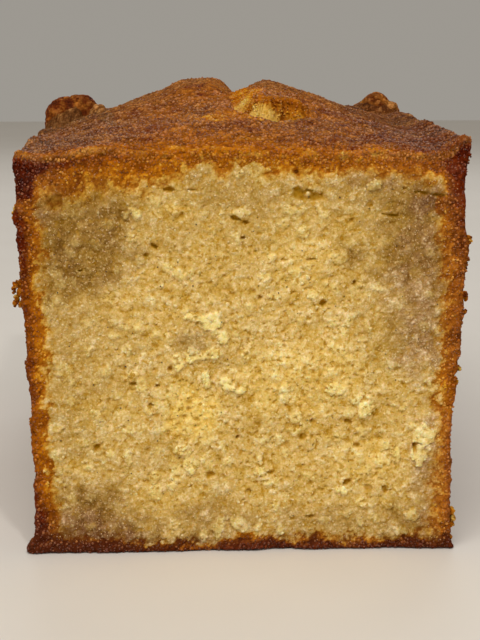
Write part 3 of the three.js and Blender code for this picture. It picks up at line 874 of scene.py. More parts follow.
@dataclass(frozen=True)
class OuterCrust:
    """The browned outside: fine relief from noise in space, and tints by where a point lies."""

    form: LoafForm

    def top_share(self, points: Array) -> Array:
        """1 on the domed top and its rims, 0 on the walls, the end and the base, with a ragged bound."""
        x, y, z = points.T
        depth = np.clip(y + self.form.length / 2, 0, self.form.length)
        ragged = layers(((1.2, 5.0, 73), (0.6, 1.8, 74)), x, y, z)
        return rise(-4.6, -1.2, z - self.form.top_height(x, depth, rounded=0.0) + ragged)

    def pits(self, points: Array) -> Array:
        """How deep in one of the small pits that bubbles left against the tin a place is."""
        distance, chance = grains(3.1, 77, *points.T)
        return rise(0.3, 0.12, distance) * (chance > 0.1)

    def relief(self, points: Array) -> Array:
        """How far the grain stands out: granules on top, smooth pitted walls, crumbly edges at the cut."""
        x, y, z = points.T
        is_top = self.top_share(points)
        lumps = 0.28 * unevenness(6.0, 71, x, y, z) + (0.06 + 0.16 * is_top) * unevenness(2.6, 72, x, y, z)
        crumbly = layers(((0.34, 1.5, 78), (0.26, 0.8, 79)), x, y, z)
        crumbly = crumbly * bell(y + self.form.length / 2, 2.2) * (1 - is_top)
        grain = (CRUST_GRANULES.at(*points.T)[0] - 0.25) * (0.1 + 0.9 * is_top)
        return lumps + crumbly + grain - 0.3 * self.pits(points) * (1 - is_top)

    def torn(self, x: Array, depth: Array, ragged: Array) -> dict[str, Array]:
        """Where the split shows crumb, by how far along its line a place is and how far from it.

        The front is a patch low on the steep wall, arched towards its right end. Behind it lies a
        broad ramp, then a browned crack. A browned lip runs along the top of the wall.

        Args:
            x: across the loaf.
            depth: behind the cut.
            ragged: millimetres that break up its bounds.

        Returns:
            Shares of the patch, ramp, crack and lip, with the distance and how far along they are.
        """
        distance, along, beyond = self.form.nearest_split(x, depth)
        wall = self.form.wall_width(along)
        far = np.maximum(beyond, 1 - rise(0.0, 0.5, distance))
        front = rise(3.5, 10, along + ragged) * (1 - rise(23.5, 26.5, along + ragged))
        arch = wall * (0.66 + 0.08 * bell(along - 15, 6))
        patch = front * (1 - rise(-0.25, 0.3, distance - arch + 0.16 * ragged))
        length = rise(27, 30, along + ragged) * (1 - rise(36, 46, along + 2 * ragged))
        ramp = length * (1 - rise(-0.6, 1.0, distance - 5.0 + 0.8 * ragged))
        length = rise(40, 48, along + ragged) * (1 - rise(100, 124, along + 4 * ragged))
        crack = length * (1 - rise(-0.4, 0.9, distance - wall + 0.8 * ragged))
        ends = rise(1, 7, along + ragged) * (1 - rise(104, 126, along + 4 * ragged))
        lip = (1 - rise(0.3, 2.8, distance - wall + 0.7 * ragged)) * ends * (0.3 + 0.7 * beyond)
        shares = {"patch": patch * far, "ramp": ramp * far, "crack": crack * far, "lip": lip}
        return shares | {"distance": distance, "along": along}

    def tints(self, points: Array) -> Tints:
        """Tints of the outside: a brown top with a painted grey sheen, orange by the cut, crumb in the split,
        smooth walls.
        """
        x, y, z = points.T
        depth = y + self.form.length / 2
        tone = CRUST_GRANULES.at(*points.T)[1]
        is_top = self.top_share(points)
        cloud = layers(((0.07, 11, 81), (0.07, 3.6, 82)), x, y, z)
        cloud = cloud + is_top * layers(((0.16, 3.1, 90), (0.1, 1.7, 91)), x, y, z)
        front = rise(7.5, 0.5, depth + 4 * (tone - 0.5))
        outward = rise(16, 44, np.abs(x))
        ragged = layers(((1.0, 3.0, 86), (0.6, 1.2, 85)), x, y, z)
        top = 0.63 - 0.15 * front + 0.2 * outward * (1 - front)
        top = top - 0.08 * rise(0.0, 0.7, PALER_TOP.share(x, depth, 0.4 * ragged))
        top = top + 0.06 * rise(0.0, 0.7, DARKER_TOP.share(x, depth, 0.4 * ragged))
        top = top + 0.14 * front * (rise(35, 45, x) + 0.4 * rise(35, 45, -x))
        low = bell(z, 5.0)
        side = 0.64 + 0.1 * low + 0.12 * bell(depth, 3.0) + 0.06 * rise(0.75, 1.0, z / self.form.rim_height)
        torn = self.torn(x, depth, ragged)
        patch, ramp, crack, lip = (torn[name] * is_top for name in ("patch", "ramp", "crack", "lip"))
        along, distance = torn["along"], torn["distance"]
        wall = self.form.wall_width(along)
        mottle = layers(((0.16, 2.2, 87), (0.12, 1.0, 88)), x, y, z)
        kindled = rise(0.0, 0.5, KINDLED.share(x, depth, 0.4 * ragged)) * is_top
        fold = rise(0.0, 0.6, FOLD.share(x, depth, 0.3 * ragged)) * is_top
        brown = blend(side, top, is_top) + cloud
        brown = blend(brown + 0.08 * fold, 0.36 + 0.9 * mottle, 0.9 * kindled)
        brown = blend(brown, 0.44 + 0.7 * mottle, 0.9 * lip)
        brown = blend(brown, 0.48 + mottle, crack)
        brown = blend(brown, 0.25 + 0.16 * rise(2.4, 4.8, distance) + 0.5 * mottle, ramp)
        high = rise(0.35, 0.8, distance / wall)
        golden = 0.2 + 0.15 * rise(15, 8, along) + 0.06 * high
        brown = blend(brown, golden + 0.3 * mottle, patch)
        bare = np.maximum.reduce([patch, ramp, crack])
        near = rise(30, 8, depth) * is_top
        contrast = 0.35 + 0.5 * np.maximum(is_top, bell(depth, 2.5)) * (1 - 0.85 * bare)
        contrast = contrast + 0.2 * near * (1 - bare)
        calm = 0.5 + (tone - 0.5) * contrast
        # Painted grey sheen on the top: most on the outer slopes, the fold and further back, fading out at
        # the cut's edge. The walls get a flat share of the same grey below.
        dust = 0.35 + (0.4 - 0.2 * (x > 0)) * outward + 0.35 * fold + 0.25 * rise(50, 70, depth)
        dust = dust + 0.2 * unevenness(9, 89, x, y, z)
        dust = np.clip(dust, 0, 1) * rise(0.0, 1.0, 1 - front) * is_top
        # A painted highlight along the crest of the split's lip: more grey sheen and a lighter tone.
        highlight_crest = bell(distance - wall - 1.3, 0.5) * rise(4, 9, along) * rise(24, 19, along)
        dust = dust + 0.4 * (1 - is_top) + 0.7 * highlight_crest * is_top
        # Darker tone in the walls' pits: painted shade.
        tone = calm - 0.2 * self.pits(points) * (1 - is_top) + 0.2 * highlight_crest * is_top + 0.14 * bare
        covered = np.maximum(0.8 * lip * (1 - highlight_crest), bare)
        zero = np.zeros_like(x)
        return {
            "brown": np.clip(brown, 0.02, 1),
            "hollow_shade": zero,
            "pale": 0.3 * patch * bell(along - 20, 1.6) * rise(1.0, 0.4, distance),
            "damp": 0.2 * ramp * rise(2.4, 1.2, distance),
            "yolk": np.maximum(patch, ramp * (0.6 + 0.4 * rise(1.4, 2.6, distance))),
            "scorch": rise(4, 0.5, z) * 0.7,
            "tone": np.clip(tone, 0, 1),
            "dust": np.clip(dust * (1 - covered) * (1 - 0.7 * kindled), 0, 1),
            "rose": zero,
        }


# --- Finishes ---


def srgb(red: int, green: int, blue: int) -> tuple[float, float, float, float]:
    """Turns a screen colour, 0 to 255 a channel, into the linear one that the shader takes."""
    channels = [value / 255 for value in (red, green, blue)]
    linear = [c / 12.92 if c <= 0.04045 else ((c + 0.055) / 1.055) ** 2.4 for c in channels]
    return (*linear, 1.0)


def stops(*rows: tuple[float, ...]) -> Ramp:
    """Colour stops, each from its place on the ramp and its screen colour."""
    return tuple((place, srgb(*colour)) for place, *colour in rows)


class Sketch:
    """Adds nodes to one material and joins them, so that a finish reads as a recipe."""

    def __init__(self, name: str) -> None:
        """Starts a material that holds only its Principled shader and output."""
        self.material = bpy.data.materials.new(name)
        self.material.use_nodes = True
        self.nodes = self.material.node_tree.nodes
        self.links = self.material.node_tree.links
        self.shader = self.nodes["Principled BSDF"]
        self.place = self.nodes.new("ShaderNodeTexCoord").outputs["Object"]

    def put(self, value: object, socket: bpy.types.NodeSocket) -> None:
        """Joins an output to a socket, or sets the socket to a plain value."""
        if isinstance(value, bpy.types.NodeSocket):
            self.links.new(value, socket)
        else:
            socket.default_value = value

    def node(self, kind: str, output: str | int, inputs: dict, **settings: object) -> bpy.types.NodeSocket:
        """Adds a node, fills in its settings and inputs, and hands back one of its outputs."""
        made = self.nodes.new("ShaderNode" + kind)
        for name, value in settings.items():
            setattr(made, name, value)
        for name, value in inputs.items():
            self.put(value, made.inputs[name])
        return made.outputs[output]

    def finish(self, **inputs: object) -> None:
        """Fills in the shader's sockets, whose names have underscores for spaces here."""
        for name, value in inputs.items():
            self.put(value, self.shader.inputs[name.replace("_", " ")])

    def attribute(self, name: str) -> bpy.types.NodeSocket:
        """Reads one of the piece's tints."""
        return self.node("Attribute", "Fac", {}, attribute_name=name)

    def noise(self, size_mm: float, detail: float = 2.0, rough: float = 0.5) -> bpy.types.NodeSocket:
        """Cloudy noise whose lumps are about size_mm across."""
        inputs = {"Vector": self.place, "Scale": 1 / (size_mm * MM), "Detail": detail, "Roughness": rough}
        return self.node("TexNoise", "Fac", inputs)

    def cells(self, size_mm: float) -> bpy.types.NodeSocket:
        """Distance to the middles of rounded cells about size_mm across."""
        return self.node("TexVoronoi", "Distance", {"Vector": self.place, "Scale": 1 / (size_mm * MM)})

    def math(self, operation: str, a: object, b: object = 0.0, clamp: bool = False) -> bpy.types.NodeSocket:
        """One step of arithmetic."""
        return self.node("Math", 0, {0: a, 1: b}, operation=operation, use_clamp=clamp)

    def times(self, a: object, b: object) -> bpy.types.NodeSocket:
        """The product of two values."""
        return self.math("MULTIPLY", a, b)

    def span(
        self, value: object, low: float, high: float, out_low: float = 0.0, out_high: float = 1.0
    ) -> bpy.types.NodeSocket:
        """Stretches the span from low to high over the span from out_low to out_high, with smooth ends."""
        inputs = {"Value": value, "From Min": low, "From Max": high, "To Min": out_low, "To Max": out_high}
        return self.node("MapRange", "Result", inputs, interpolation_type="SMOOTHSTEP")

    def mix(self, share: object, a: object, b: object, kind: str = "MIX") -> bpy.types.NodeSocket:
        """Mixes two colours."""
        inputs = {"Factor": share, "A": a, "B": b}
        return self.node("Mix", "Result", inputs, data_type="RGBA", blend_type=kind)

    def bump(self, height: object, strength: object, depth_mm: float) -> bpy.types.NodeSocket:
        """Fine relief in the shading."""
        inputs = {"Height": height, "Strength": strength, "Distance": depth_mm * MM}
        return self.node("Bump", "Normal", inputs)

    def ramp(self, value: object, ramp: Ramp) -> bpy.types.NodeSocket:
        """Colours a value by its place on a ramp."""
        node = self.nodes.new("ShaderNodeValToRGB")
        elements = node.color_ramp.elements
        while len(elements) < len(ramp):
            elements.new(0.5)
        for element, (position, colour) in zip(elements, ramp):
            element.position = position
            element.color = colour
        self.put(value, node.inputs["Fac"])
        return node.outputs["Color"]


@dataclass(frozen=True)
class CakeFinish:
    """Baked cake from pale crumb to dark crust, steered by the tints of each piece."""

    name: str
    specular: float = 0.03
    dull: float = 0.85
    shine: float = 0.45
    glow: float = 0.35
    glow_reach: tuple[float, float, float] = (1.0, 0.5, 0.18)
    glow_mm: float = 0.6
    dry: Ramp = stops((0, 180, 134, 34), (0.3, 200, 161, 74), (0.6, 217, 184, 112), (1, 244, 224, 172))
    damp: Ramp = stops((0, 94, 58, 14), (0.4, 138, 101, 44), (0.7, 166, 130, 70), (1, 210, 180, 130))
    rose: Ramp = stops((0, 96, 52, 34), (0.5, 150, 110, 86), (1, 224, 192, 168))
    pale: Ramp = stops((0, 206, 164, 78), (0.5, 240, 218, 140), (1, 252, 240, 188))
    # Painted shade in pores and holes: a darker, saturated amber.
    hollow_shade: Ramp = stops((0, 156, 110, 4), (1, 200, 152, 34))
    fleck: Ramp = stops((0, 214, 180, 116), (1, 252, 238, 200))
    yolk: Ramp = stops((0, 214, 162, 40), (0.5, 246, 208, 108), (1, 255, 238, 158))
    scorch: tuple[float, ...] = srgb(82, 36, 14)
    # Colours of the painted grey sheen.
    dusty: Ramp = stops((0, 92, 52, 18), (0.5, 138, 90, 44), (1, 196, 144, 88))
    crust: Ramp = stops(
        (0, 212, 168, 80), (0.16, 226, 168, 42), (0.32, 196, 119, 18), (0.48, 176, 98, 12),
        (0.64, 144, 76, 16), (0.8, 122, 44, 4), (1, 78, 18, 2),
    )
    shade: Ramp = stops((0, 255, 255, 255), (1, 205, 200, 198))
    grain: Ramp = stops((0, 176, 172, 168), (1, 255, 255, 255))

    def material(self) -> bpy.types.Material:
        """Builds the node material, whose colour, gloss and bump follow the tints and noise in space."""
        s = Sketch(self.name)
        fine, broad = s.noise(0.5, 3.0, 0.6), s.noise(6.0, 2.0)
        speckle = s.span(fine, 0.32, 0.68, -0.15, 0.15)
        tone = s.math("ADD", s.attribute("tone"), speckle, clamp=True)
        tone = s.math("ADD", tone, s.span(broad, 0.3, 0.7, -0.08, 0.08), clamp=True)
        # The ramps below go by tone, which holds the granules' painted shade: darker gold between granules,
        # cream on their tops.
        crumb = s.ramp(tone, self.dry)
        crumb = s.mix(s.times(s.attribute("yolk"), 0.7), crumb, s.ramp(tone, self.yolk))
        damp_share = s.times(s.attribute("damp"), s.span(broad, 0.25, 0.7, 0.75, 1.0))
        crumb = s.mix(damp_share, crumb, s.ramp(tone, self.damp))
        crumb = s.mix(s.attribute("rose"), crumb, s.ramp(tone, self.rose))
        crumb = s.mix(s.attribute("pale"), crumb, s.ramp(tone, self.pale))
        fleck = s.span(s.noise(0.6, 2.0, 0.5), 0.6, 0.68)
        crumb = s.mix(s.times(fleck, 0.45), crumb, s.ramp(tone, self.fleck))
        # Noise pits also take the painted pore shade, and dent the bump.
        pit = s.times(s.span(s.noise(1.25, 3.0, 0.5), 0.585, 0.66), s.span(damp_share, 0.0, 1.0, 0.8, 0.35))
        crumb = s.mix(s.math("MAXIMUM", pit, s.attribute("hollow_shade")), crumb, s.ramp(tone, self.hollow_shade))
        base = s.attribute("brown")
        # Low tone browns the crust: partly each granule's own tone, partly painted shade between granules.
        swing = s.times(s.span(base, 0.1, 0.6, 0.24, 0.3), s.math("SUBTRACT", 0.5, tone))
        crust = s.ramp(s.math("ADD", base, swing), self.crust)
        # Painted grey sheen: a greyer brown, dimmed where the crust is darkest, mixed in where the sheen tint
        # says.
        shade = s.ramp(s.span(base, 0.6, 0.85), self.shade)
        dusty = s.mix(1.0, s.ramp(tone, self.dusty), shade, "MULTIPLY")
        crust = s.mix(s.times(s.attribute("dust"), 0.9), crust, dusty)
        # The grain ramp darkens low tone: partly granule tone, partly painted shade between granules.
        crust = s.mix(1.0, crust, s.ramp(tone, self.grain), "MULTIPLY")
        crust = s.mix(s.times(s.attribute("rose"), 0.14), crust, s.ramp(tone, self.rose))
        colour = s.mix(s.span(base, 0.0, 0.36), crumb, crust)
        scorched = s.times(s.attribute("scorch"), s.span(tone, 0.3, 0.8, 0.85, 0.35))
        s.finish(Base_Color=s.mix(scorched, colour, self.scorch))
        gloss = s.math("MAXIMUM", s.times(s.attribute("damp"), 0.6), s.span(base, 0.5, 0.95, 0.0, 0.5))
        s.finish(Roughness=s.span(gloss, 0.0, 1.0, self.dull, self.shine))
        height = s.math("ADD", s.noise(0.45, 3.0, 0.6), s.times(s.cells(0.7), 0.5))
        height = s.math("SUBTRACT", height, s.times(pit, s.span(base, 0.1, 0.4, 0.4, 0.0)))
        s.finish(
            Normal=s.bump(height, s.span(base, 0.1, 0.5, 0.38, 0.6), 0.3),
            Specular_IOR_Level=self.specular,
            Subsurface_Weight=self.glow,
            Subsurface_Radius=self.glow_reach,
            Subsurface_Scale=self.glow_mm * MM,
        )
        return s.material


@dataclass(frozen=True)
class SeedFinish:
    """Black, slightly oily vanilla seeds."""

    name: str = "vanilla_seed"
    colour: tuple[float, ...] = srgb(40, 28, 16)
    warm: tuple[float, ...] = srgb(74, 50, 26)
    roughness: float = 0.4

    def material(self) -> bpy.types.Material:
        """Builds the node material: nearly black, a little browner here and there."""
        s = Sketch(self.name)
        s.finish(Base_Color=s.mix(s.noise(0.6), self.colour, self.warm), Roughness=self.roughness)
        return s.material


@dataclass(frozen=True)
class BeadFinish:
    """Sugar and melted butter in tiny glossy beads, coloured as painted glints: pale on crumb, mauve on dark
    crust.
    """

    name: str = "sugar_glint_bead"
    glint_on_crumb: tuple[float, ...] = srgb(220, 188, 144)
    glint_on_crust: tuple[float, ...] = srgb(142, 84, 74)
    # A duller painted glint colour, mixed in here and there.
    dull: tuple[float, ...] = srgb(168, 114, 66)
    roughness: float = 0.16
    specular: float = 0.8

    def material(self) -> bpy.types.Material:
        """Builds the node material, whose colour follows how brown the cake under a bead is."""
        s = Sketch(self.name)
        colour = s.mix(s.span(s.attribute("brown"), 0.1, 0.7), self.glint_on_crumb, self.glint_on_crust)
        colour = s.mix(s.span(s.noise(0.8), 0.4, 0.7), colour, self.dull)
        s.finish(Base_Color=colour, Roughness=self.roughness, Specular_IOR_Level=self.specular)
        return s.material


# --- Pieces ---


@dataclass
class Piece:
    """What every piece of the loaf shares: its name, its finish and a slot, which is not used."""

    name: str
    finish: bpy.types.Material
    slot: str

    def attach(self, made: bpy.types.Object, replaces: bool = False) -> bpy.types.Object:
        """Gives a made object its finish, and hangs it on the frame, in place of the solid if told to."""
        made.data.materials.append(self.finish)
        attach(made, BODY)
        if replaces:
            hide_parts(NODE)
        log.info("%s: %d faces", self.name, len(made.data.polygons))
        return made


def edge_skin(form: LoafForm, edge: Callable, across: Array, depth: Array, flip: bool) -> Skin:
    """A grid over the top or the base, from the function of the form that gives its X and Z."""
    x, z = edge(across[None, :], depth)
    return Skin.from_grid(form.place(x, depth, z), flip=flip)


def wall_skins(form: LoafForm, up: Array, depth: Array) -> list[Skin]:
    """Grids over the left and the right wall."""
    skins = []
    for side in Side:
        x, z = form.side_edge(up[None, :], depth, side)
        skins.append(Skin.from_grid(form.place(x, depth, z), flip=side is Side.RIGHT))
    return skins


def end_skin(form: LoafForm, across: Array, up: Array, rows: slice) -> Skin:
    """A grid over some rows of the baked end."""
    x, z = form.section(across, up, form.length)
    return Skin.from_grid(form.place(x[rows], np.full_like(x[rows], form.length), z[rows]), flip=True)


@dataclass
class CutSlice(Piece):
    """The front few millimetres of the loaf: the whole cut face and the edge of crust round it."""

    face: CutFace
    crust: OuterCrust
    columns: int = 318
    rows: int = 288
    ring_depths: tuple[float, ...] = (0.0, 0.35, 0.8, 1.35, 2.1, 3.2)
    hub_depth: float = 12.0

    def build(self) -> bpy.types.Object:
        """The section's grid sunk by the crumb's relief, and rings of crust behind its rim."""
        form = self.face.form
        across, up = np.linspace(-1, 1, self.columns + 1), np.linspace(0, 1, self.rows + 1)
        x, z = form.section(across, up, 0.0)
        front = Skin.from_grid(form.place(x, np.zeros_like(x), z), mark=1.0)
        ring = np.array(self.ring_depths)[:, None]
        rings = [edge_skin(form, form.base_edge, across, ring, True)]
        rings += [edge_skin(form, form.top_edge, across, ring, False), *wall_skins(form, up, ring)]
        skin = Skin.weld(front, *rings)
        points, on_face = skin.points, skin.marks > 0.5
        face_x, face_z = points[:, 0].copy(), points[:, 2].copy()
        inside = self.face.inside(face_x, face_z)
        outer = self.crust.relief(points)[:, None] * skin.normals()
        outer[on_face, 1] = 0.0
        outer *= np.where(on_face, rise(2.2, 0.0, inside), 1.0)[:, None]
        sunk = self.face.relief(face_x, face_z) + rounding(self.face.lip_radius, np.maximum(inside, 0.0))
        fade = np.where(on_face, 1.0, bell(points[:, 1] + form.length / 2, 1.2))
        points = points + outer
        points[:, 1] += sunk * fade
        points[:, 2] = np.maximum(points[:, 2], 0.0)
        skin.points = points
        tints = self.face.tints(face_x, face_z)
        crust_tints = self.crust.tints(points)
        share = np.where(on_face, 0.0, 1.0)
        mixed = {name: blend(tints[name], crust_tints[name], share) for name in TINTS}
        solid = skin.closed((0.0, self.hub_depth - form.length / 2, form.rim_height / 2), 0.0, 0.02)
        return self.attach(solid.made(self.name, mixed), replaces=True)


@dataclass
class TopCrust(Piece):
    """The browned, split top, with its rims and the first millimetres of the walls below them."""

    crust: OuterCrust
    start: float = 3.2
    columns: int = 272
    rows: int = 316
    front_share: float = 0.56
    skirt_up: float = 0.93
    skirt_rows: int = 9

    def build(self) -> bpy.types.Object:
        """A grid over X and depth, closest at the front, with skirts down the sides and the baked end."""
        form = self.crust.form
        across = np.linspace(-1, 1, self.columns + 1)
        share = np.linspace(0, 1, self.rows + 1)
        share = self.front_share * share + (1 - self.front_share) * share**3
        depth = (self.start + (form.length - self.start) * share)[:, None]
        skirt = np.linspace(self.skirt_up, 1.0, self.skirt_rows + 1)
        skins = [edge_skin(form, form.top_edge, across, depth, False), *wall_skins(form, skirt, depth)]
        skins.append(end_skin(form, across, np.concatenate([[0.0], skirt]), np.s_[1:]))
        return self.attach(finish_crust(self.name, skins, self.crust))


@dataclass
class TinCrust(Piece):
    """The crust that the tin shaped: two walls, the base and the baked end."""

    crust: OuterCrust
    start: float = 3.2
    top_up: float = 0.93
    wall_rows: int = 104
    base_columns: int = 64
    depth_rows: int = 190

    def build(self) -> bpy.types.Object:
        """Grids over depth for the walls and the base, and a filled section for the end."""
        form = self.crust.form
        across = np.linspace(-1, 1, self.base_columns + 1)
        up = np.linspace(0, self.top_up, self.wall_rows + 1)
        share = np.linspace(0, 1, self.depth_rows + 1)
        depth = (self.start + (form.length - self.start) * np.sin(share * math.pi / 2) ** 0.9)[:, None]
        skins = [edge_skin(form, form.base_edge, across, depth, True), *wall_skins(form, up, depth)]
        skins.append(end_skin(form, across, np.concatenate([up, [1.0]]), np.s_[:-1]))
        return self.attach(finish_crust(self.name, skins, self.crust))


def finish_crust(name: str, skins: list[Skin], crust: OuterCrust) -> bpy.types.Object:
    """Welds crust skins, raises their relief along the normals, tints and closes them.

    Args:
        name: the piece's name.
        skins: grids that meet at their edges.
        crust: gives the relief and the tints.

    Returns:
        The object.
    """
    skin = Skin.weld(*skins)
    skin.points = skin.points + crust.relief(skin.points)[:, None] * skin.normals()
    skin.points[:, 2] = np.maximum(skin.points[:, 2], 0.0)
    solid = skin.closed((0.0, 0.0, crust.form.rim_height / 2), 0.8, 0.35)
    return solid.made(name, crust.tints(skin.points))


# --- Small things on the surfaces ---


def ball(levels: int) -> tuple[Array, Array]:
    """Points and triangles of an icosahedron, quartered a number of times, on the unit sphere."""
    golden = (1 + math.sqrt(5)) / 2
    flat = [(-1, golden), (1, golden), (-1, -golden), (1, -golden)]
    points = [(a, b, 0.0) for a, b in flat] + [(0.0, a, b) for a, b in flat] + [(b, 0.0, a) for a, b in flat]
    points = np.array(points, float) / math.hypot(1, golden)
    reach = np.linalg.norm(points[:, None] - points[None], axis=2)
    near = (reach > 0.1) & (reach < 1.2)
    faces = np.array([
        (i, j, k)
        for i in range(12) for j in range(i) for k in range(j)
        if near[i, j] and near[j, k] and near[i, k]
    ])
    a, b, c = (points[faces[:, corner]] for corner in range(3))
    turn = np.einsum("ij,ij->i", np.cross(b - a, c - a), a)
    faces = np.where((turn > 0)[:, None], faces, faces[:, ::-1])
    for _ in range(levels):
        a, b, c = (points[faces[:, corner]] for corner in range(3))
        sides = ((a, b), (b, c), (c, a))
        ab, bc, ca = ((p + q) / np.linalg.norm(p + q, axis=1, keepdims=True) for p, q in sides)
        quarters = ((a, ab, ca), (b, bc, ab), (c, ca, bc), (ab, bc, ca))
        corners = np.concatenate([np.stack(quarter, axis=1) for quarter in quarters])
        keys = np.round(corners.reshape(-1, 3) * 1e6).astype(np.int64)
        _, first, number = np.unique(keys, axis=0, return_index=True, return_inverse=True)
        points, faces = corners.reshape(-1, 3)[first], number.reshape(-1, 3)
    return points, faces


@dataclass
class Crop(Piece):
    """Many small lumps on one surface, joined in one mesh and tinted one by one."""

    seed: int
    roughness: float

    def grow(self, places: Array, radii: Array, tints: Tints) -> bpy.types.Object:
        """Makes the lumps: a ball each, stretched, turned at random, and made uneven.

        Args:
            places: centres, in millimetres.
            radii: three half sizes for each lump.
            tints: one value for each lump.

        Returns:
            The finished piece.
        """
        draw = np.random.default_rng(self.seed)
        unit, faces = ball(0)
        count, size = len(places), len(unit)
        spin = np.linalg.qr(draw.normal(size=(count, 3, 3)))[0]
        spin[:, :, 0] *= np.sign(np.linalg.det(spin))[:, None]
        uneven = 1 + self.roughness * draw.uniform(-1, 1, (count, size, 1))
        lumps = np.einsum("nij,nbj->nbi", spin, unit[None] * radii[:, None, :] * uneven)
        points = (places[:, None, :] + lumps).reshape(-1, 3)
        triangles = (faces[None] + (np.arange(count) * size)[:, None, None]).reshape(-1, 3)
        spread = {name: np.repeat(values, size) for name, values in tints.items()}
        return self.attach(make_object(self.name, points, NO_QUADS, triangles, spread))


def share_of(value: Array) -> Array:
    """Turns values from -1 to 1 into shares from 0 to 1."""
    return 0.5 + 0.5 * value


def picked(tints: Tints, keep: Array) -> Tints:
    """The tints of the places that are kept."""
    return {name: values[keep] for name, values in tints.items()}


def scattered(
    pitch: float, seed: float, low: tuple[float, float], high: tuple[float, float]
) -> tuple[Array, Array, Array]:
    """Places strewn evenly: a lattice whose points are each pushed at random within their cell.

    Args:
        pitch: mean spacing.
        seed: picks the pattern.
        low: lower corner of the area.
        high: upper corner.

    Returns:
        The two coordinates of each place, and one value from -1 to 1 each.
    """
    i, j = np.meshgrid(
        np.arange(low[0] // pitch, high[0] // pitch + 1), np.arange(low[1] // pitch, high[1] // pitch + 1)
    )
    first = (i + 0.5 + 0.48 * lattice_value(seed, i, j)) * pitch
    second = (j + 0.5 + 0.48 * lattice_value(seed + 5, i, j)) * pitch
    inside = (first > low[0]) & (first < high[0]) & (second > low[1]) & (second < high[1])
    return first[inside], second[inside], lattice_value(seed + 9, i, j)[inside]


@dataclass
class FaceCrop(Crop):
    """Small lumps on the cut face."""

    face: CutFace

    def strew(
        self, x: Array, z: Array, size: Array, sink: float, tints: Tints, flatness: float = 0.7
    ) -> bpy.types.Object:
        """Sets lumps of a size on the crumb's own relief.

        Args:
            x: across the loaf.
            z: height.
            size: half width of each lump.
            sink: how far, in sizes, a centre lies behind the surface.
            tints: one value for each lump.
            flatness: depth of a lump over its width.

        Returns:
            The finished piece.
        """
        inside = self.face.inside(x, z)
        keep = inside > size * 0.4
        x, z, size, inside = x[keep], z[keep], size[keep], inside[keep]
        y = self.face.relief(x, z) + rounding(self.face.lip_radius, inside) + sink * size
        places = np.stack([x, y - self.face.form.length / 2, z], axis=-1)
        radii = size[:, None] * np.array([1.0, 0.8, flatness])
        return self.grow(places, radii, picked(tints, keep))


@dataclass
class TopCrop(Crop):
    """Small lumps on the domed top."""

    crust: OuterCrust

    def strew(
        self, x: Array, depth: Array, size: Array, sink: float, tints: Tints, flatness: float = 0.75
    ) -> bpy.types.Object:
        """Sets lumps of a size on the crust's own relief, as FaceCrop does on the crumb's."""
        form = self.crust.form
        rim = form.half_width(x, np.ones_like(x), depth)
        keep = (np.abs(x) < rim - 0.7) & (depth > 0.7) & (depth < form.length - 1.5)
        x, depth, size = x[keep], depth[keep], size[keep]
        rounded = rounding(form.top_edge_radius, rim[keep] - np.abs(x))
        surface = form.place(x, depth, form.top_height(x, depth) - rounded)
        surface[:, 2] += self.crust.relief(surface) - sink * size
        radii = size[:, None] * np.array([1.0, 0.85, flatness])
        return self.grow(surface, radii, picked(tints, keep))


@dataclass
class WallCrop(Crop):
    """Small lumps on the two side walls."""

    crust: OuterCrust

    def strew(self, x: Array, depth: Array, z: Array, size: Array, sink: float) -> bpy.types.Object:
        """Sets lumps on the wall that the sign of X picks, tinted as the crust under them."""
        form = self.crust.form
        wall = form.half_width(x, z / form.rim_height, depth)
        surface = form.place(np.sign(x) * wall, depth, z)
        surface[:, 0] += np.sign(x) * (self.crust.relief(surface) - sink * size)
        tints = self.crust.tints(surface)
        tints["tone"] = np.clip(tints["tone"] + 0.8 * (size / size.mean() - 1), 0, 1)
        return self.grow(surface, size[:, None] * np.array([0.8, 1.0, 0.9]), tints)


@dataclass(frozen=True)
class Blob:
    """One lump of crust: its centre, half sizes, lean in degrees, how browned it is, its painted grey sheen,
    and its faces.
    """

    x: float
    depth: float
    z: float
    half_width: float
    half_length: float
    half_height: float
    lean: float = 0.0
    brown: float = 0.6
    dust: float = 0.0
    levels: int = 4


@dataclass
class Blobs(Piece):
    """Lumps and flakes of crust as rough balls, half sunk in the loaf."""

    crust: OuterCrust
    blobs: tuple[Blob, ...]
    unevenness_share: float = 0.07

    def build(self) -> bpy.types.Object:
        """Each ball is stretched, leant and pushed in and out by noise, from its size down to a grain."""
        balls = {blob.levels: ball(blob.levels) for blob in self.blobs}
        points, triangles, tints, placed = [], [], {name: [] for name in TINTS}, 0
        for number, blob in enumerate(self.blobs):
            unit, faces = balls[blob.levels]
            radii = np.array([blob.half_width, blob.half_length, blob.half_height])
            angle = math.radians(blob.lean)
            turn = np.array([
                [math.cos(angle), 0, math.sin(angle)], [0, 1, 0], [-math.sin(angle), 0, math.cos(angle)],
            ])
            centre = np.array([blob.x, blob.depth - self.crust.form.length / 2, blob.z])
            size = float(radii.mean())
            lumps = unevenness(size * 1.1, 91 + number, *(unit * radii).T)
            lumps = lumps + 0.6 * unevenness(size * 0.45, 91 + number, *(unit * radii).T)
            shape = (unit * radii * (1 + self.unevenness_share * lumps[:, None])) @ turn.T + centre
            height, tone = CRUST_GRANULES.at(*shape.T)
            normal = (unit / radii) @ turn.T
            normal /= np.linalg.norm(normal, axis=1, keepdims=True)
            shape = shape + normal * ((height - 0.25) * min(1.0, size / 1.6))[:, None]
            triangles.append(faces + placed)
            placed += len(unit)
            points.append(shape)
            patchy = layers(((0.2, 1.9, 97), (0.14, 0.9, 98)), *shape.T)
            own = even_tints(len(unit), brown=np.clip(blob.brown + patchy, 0, 1), dust=blob.dust)
            own["tone"] = tone
            for name in TINTS:
                tints[name].append(own[name])
        joined = {name: np.concatenate(values) for name, values in tints.items()}
        return self.attach(
            make_object(self.name, np.concatenate(points), NO_QUADS, np.concatenate(triangles), joined)
        )


def blobs(*rows: tuple[float, ...]) -> tuple[Blob, ...]:
    """Makes a blob of each row of its numbers."""
    return tuple(Blob(*row) for row in rows)
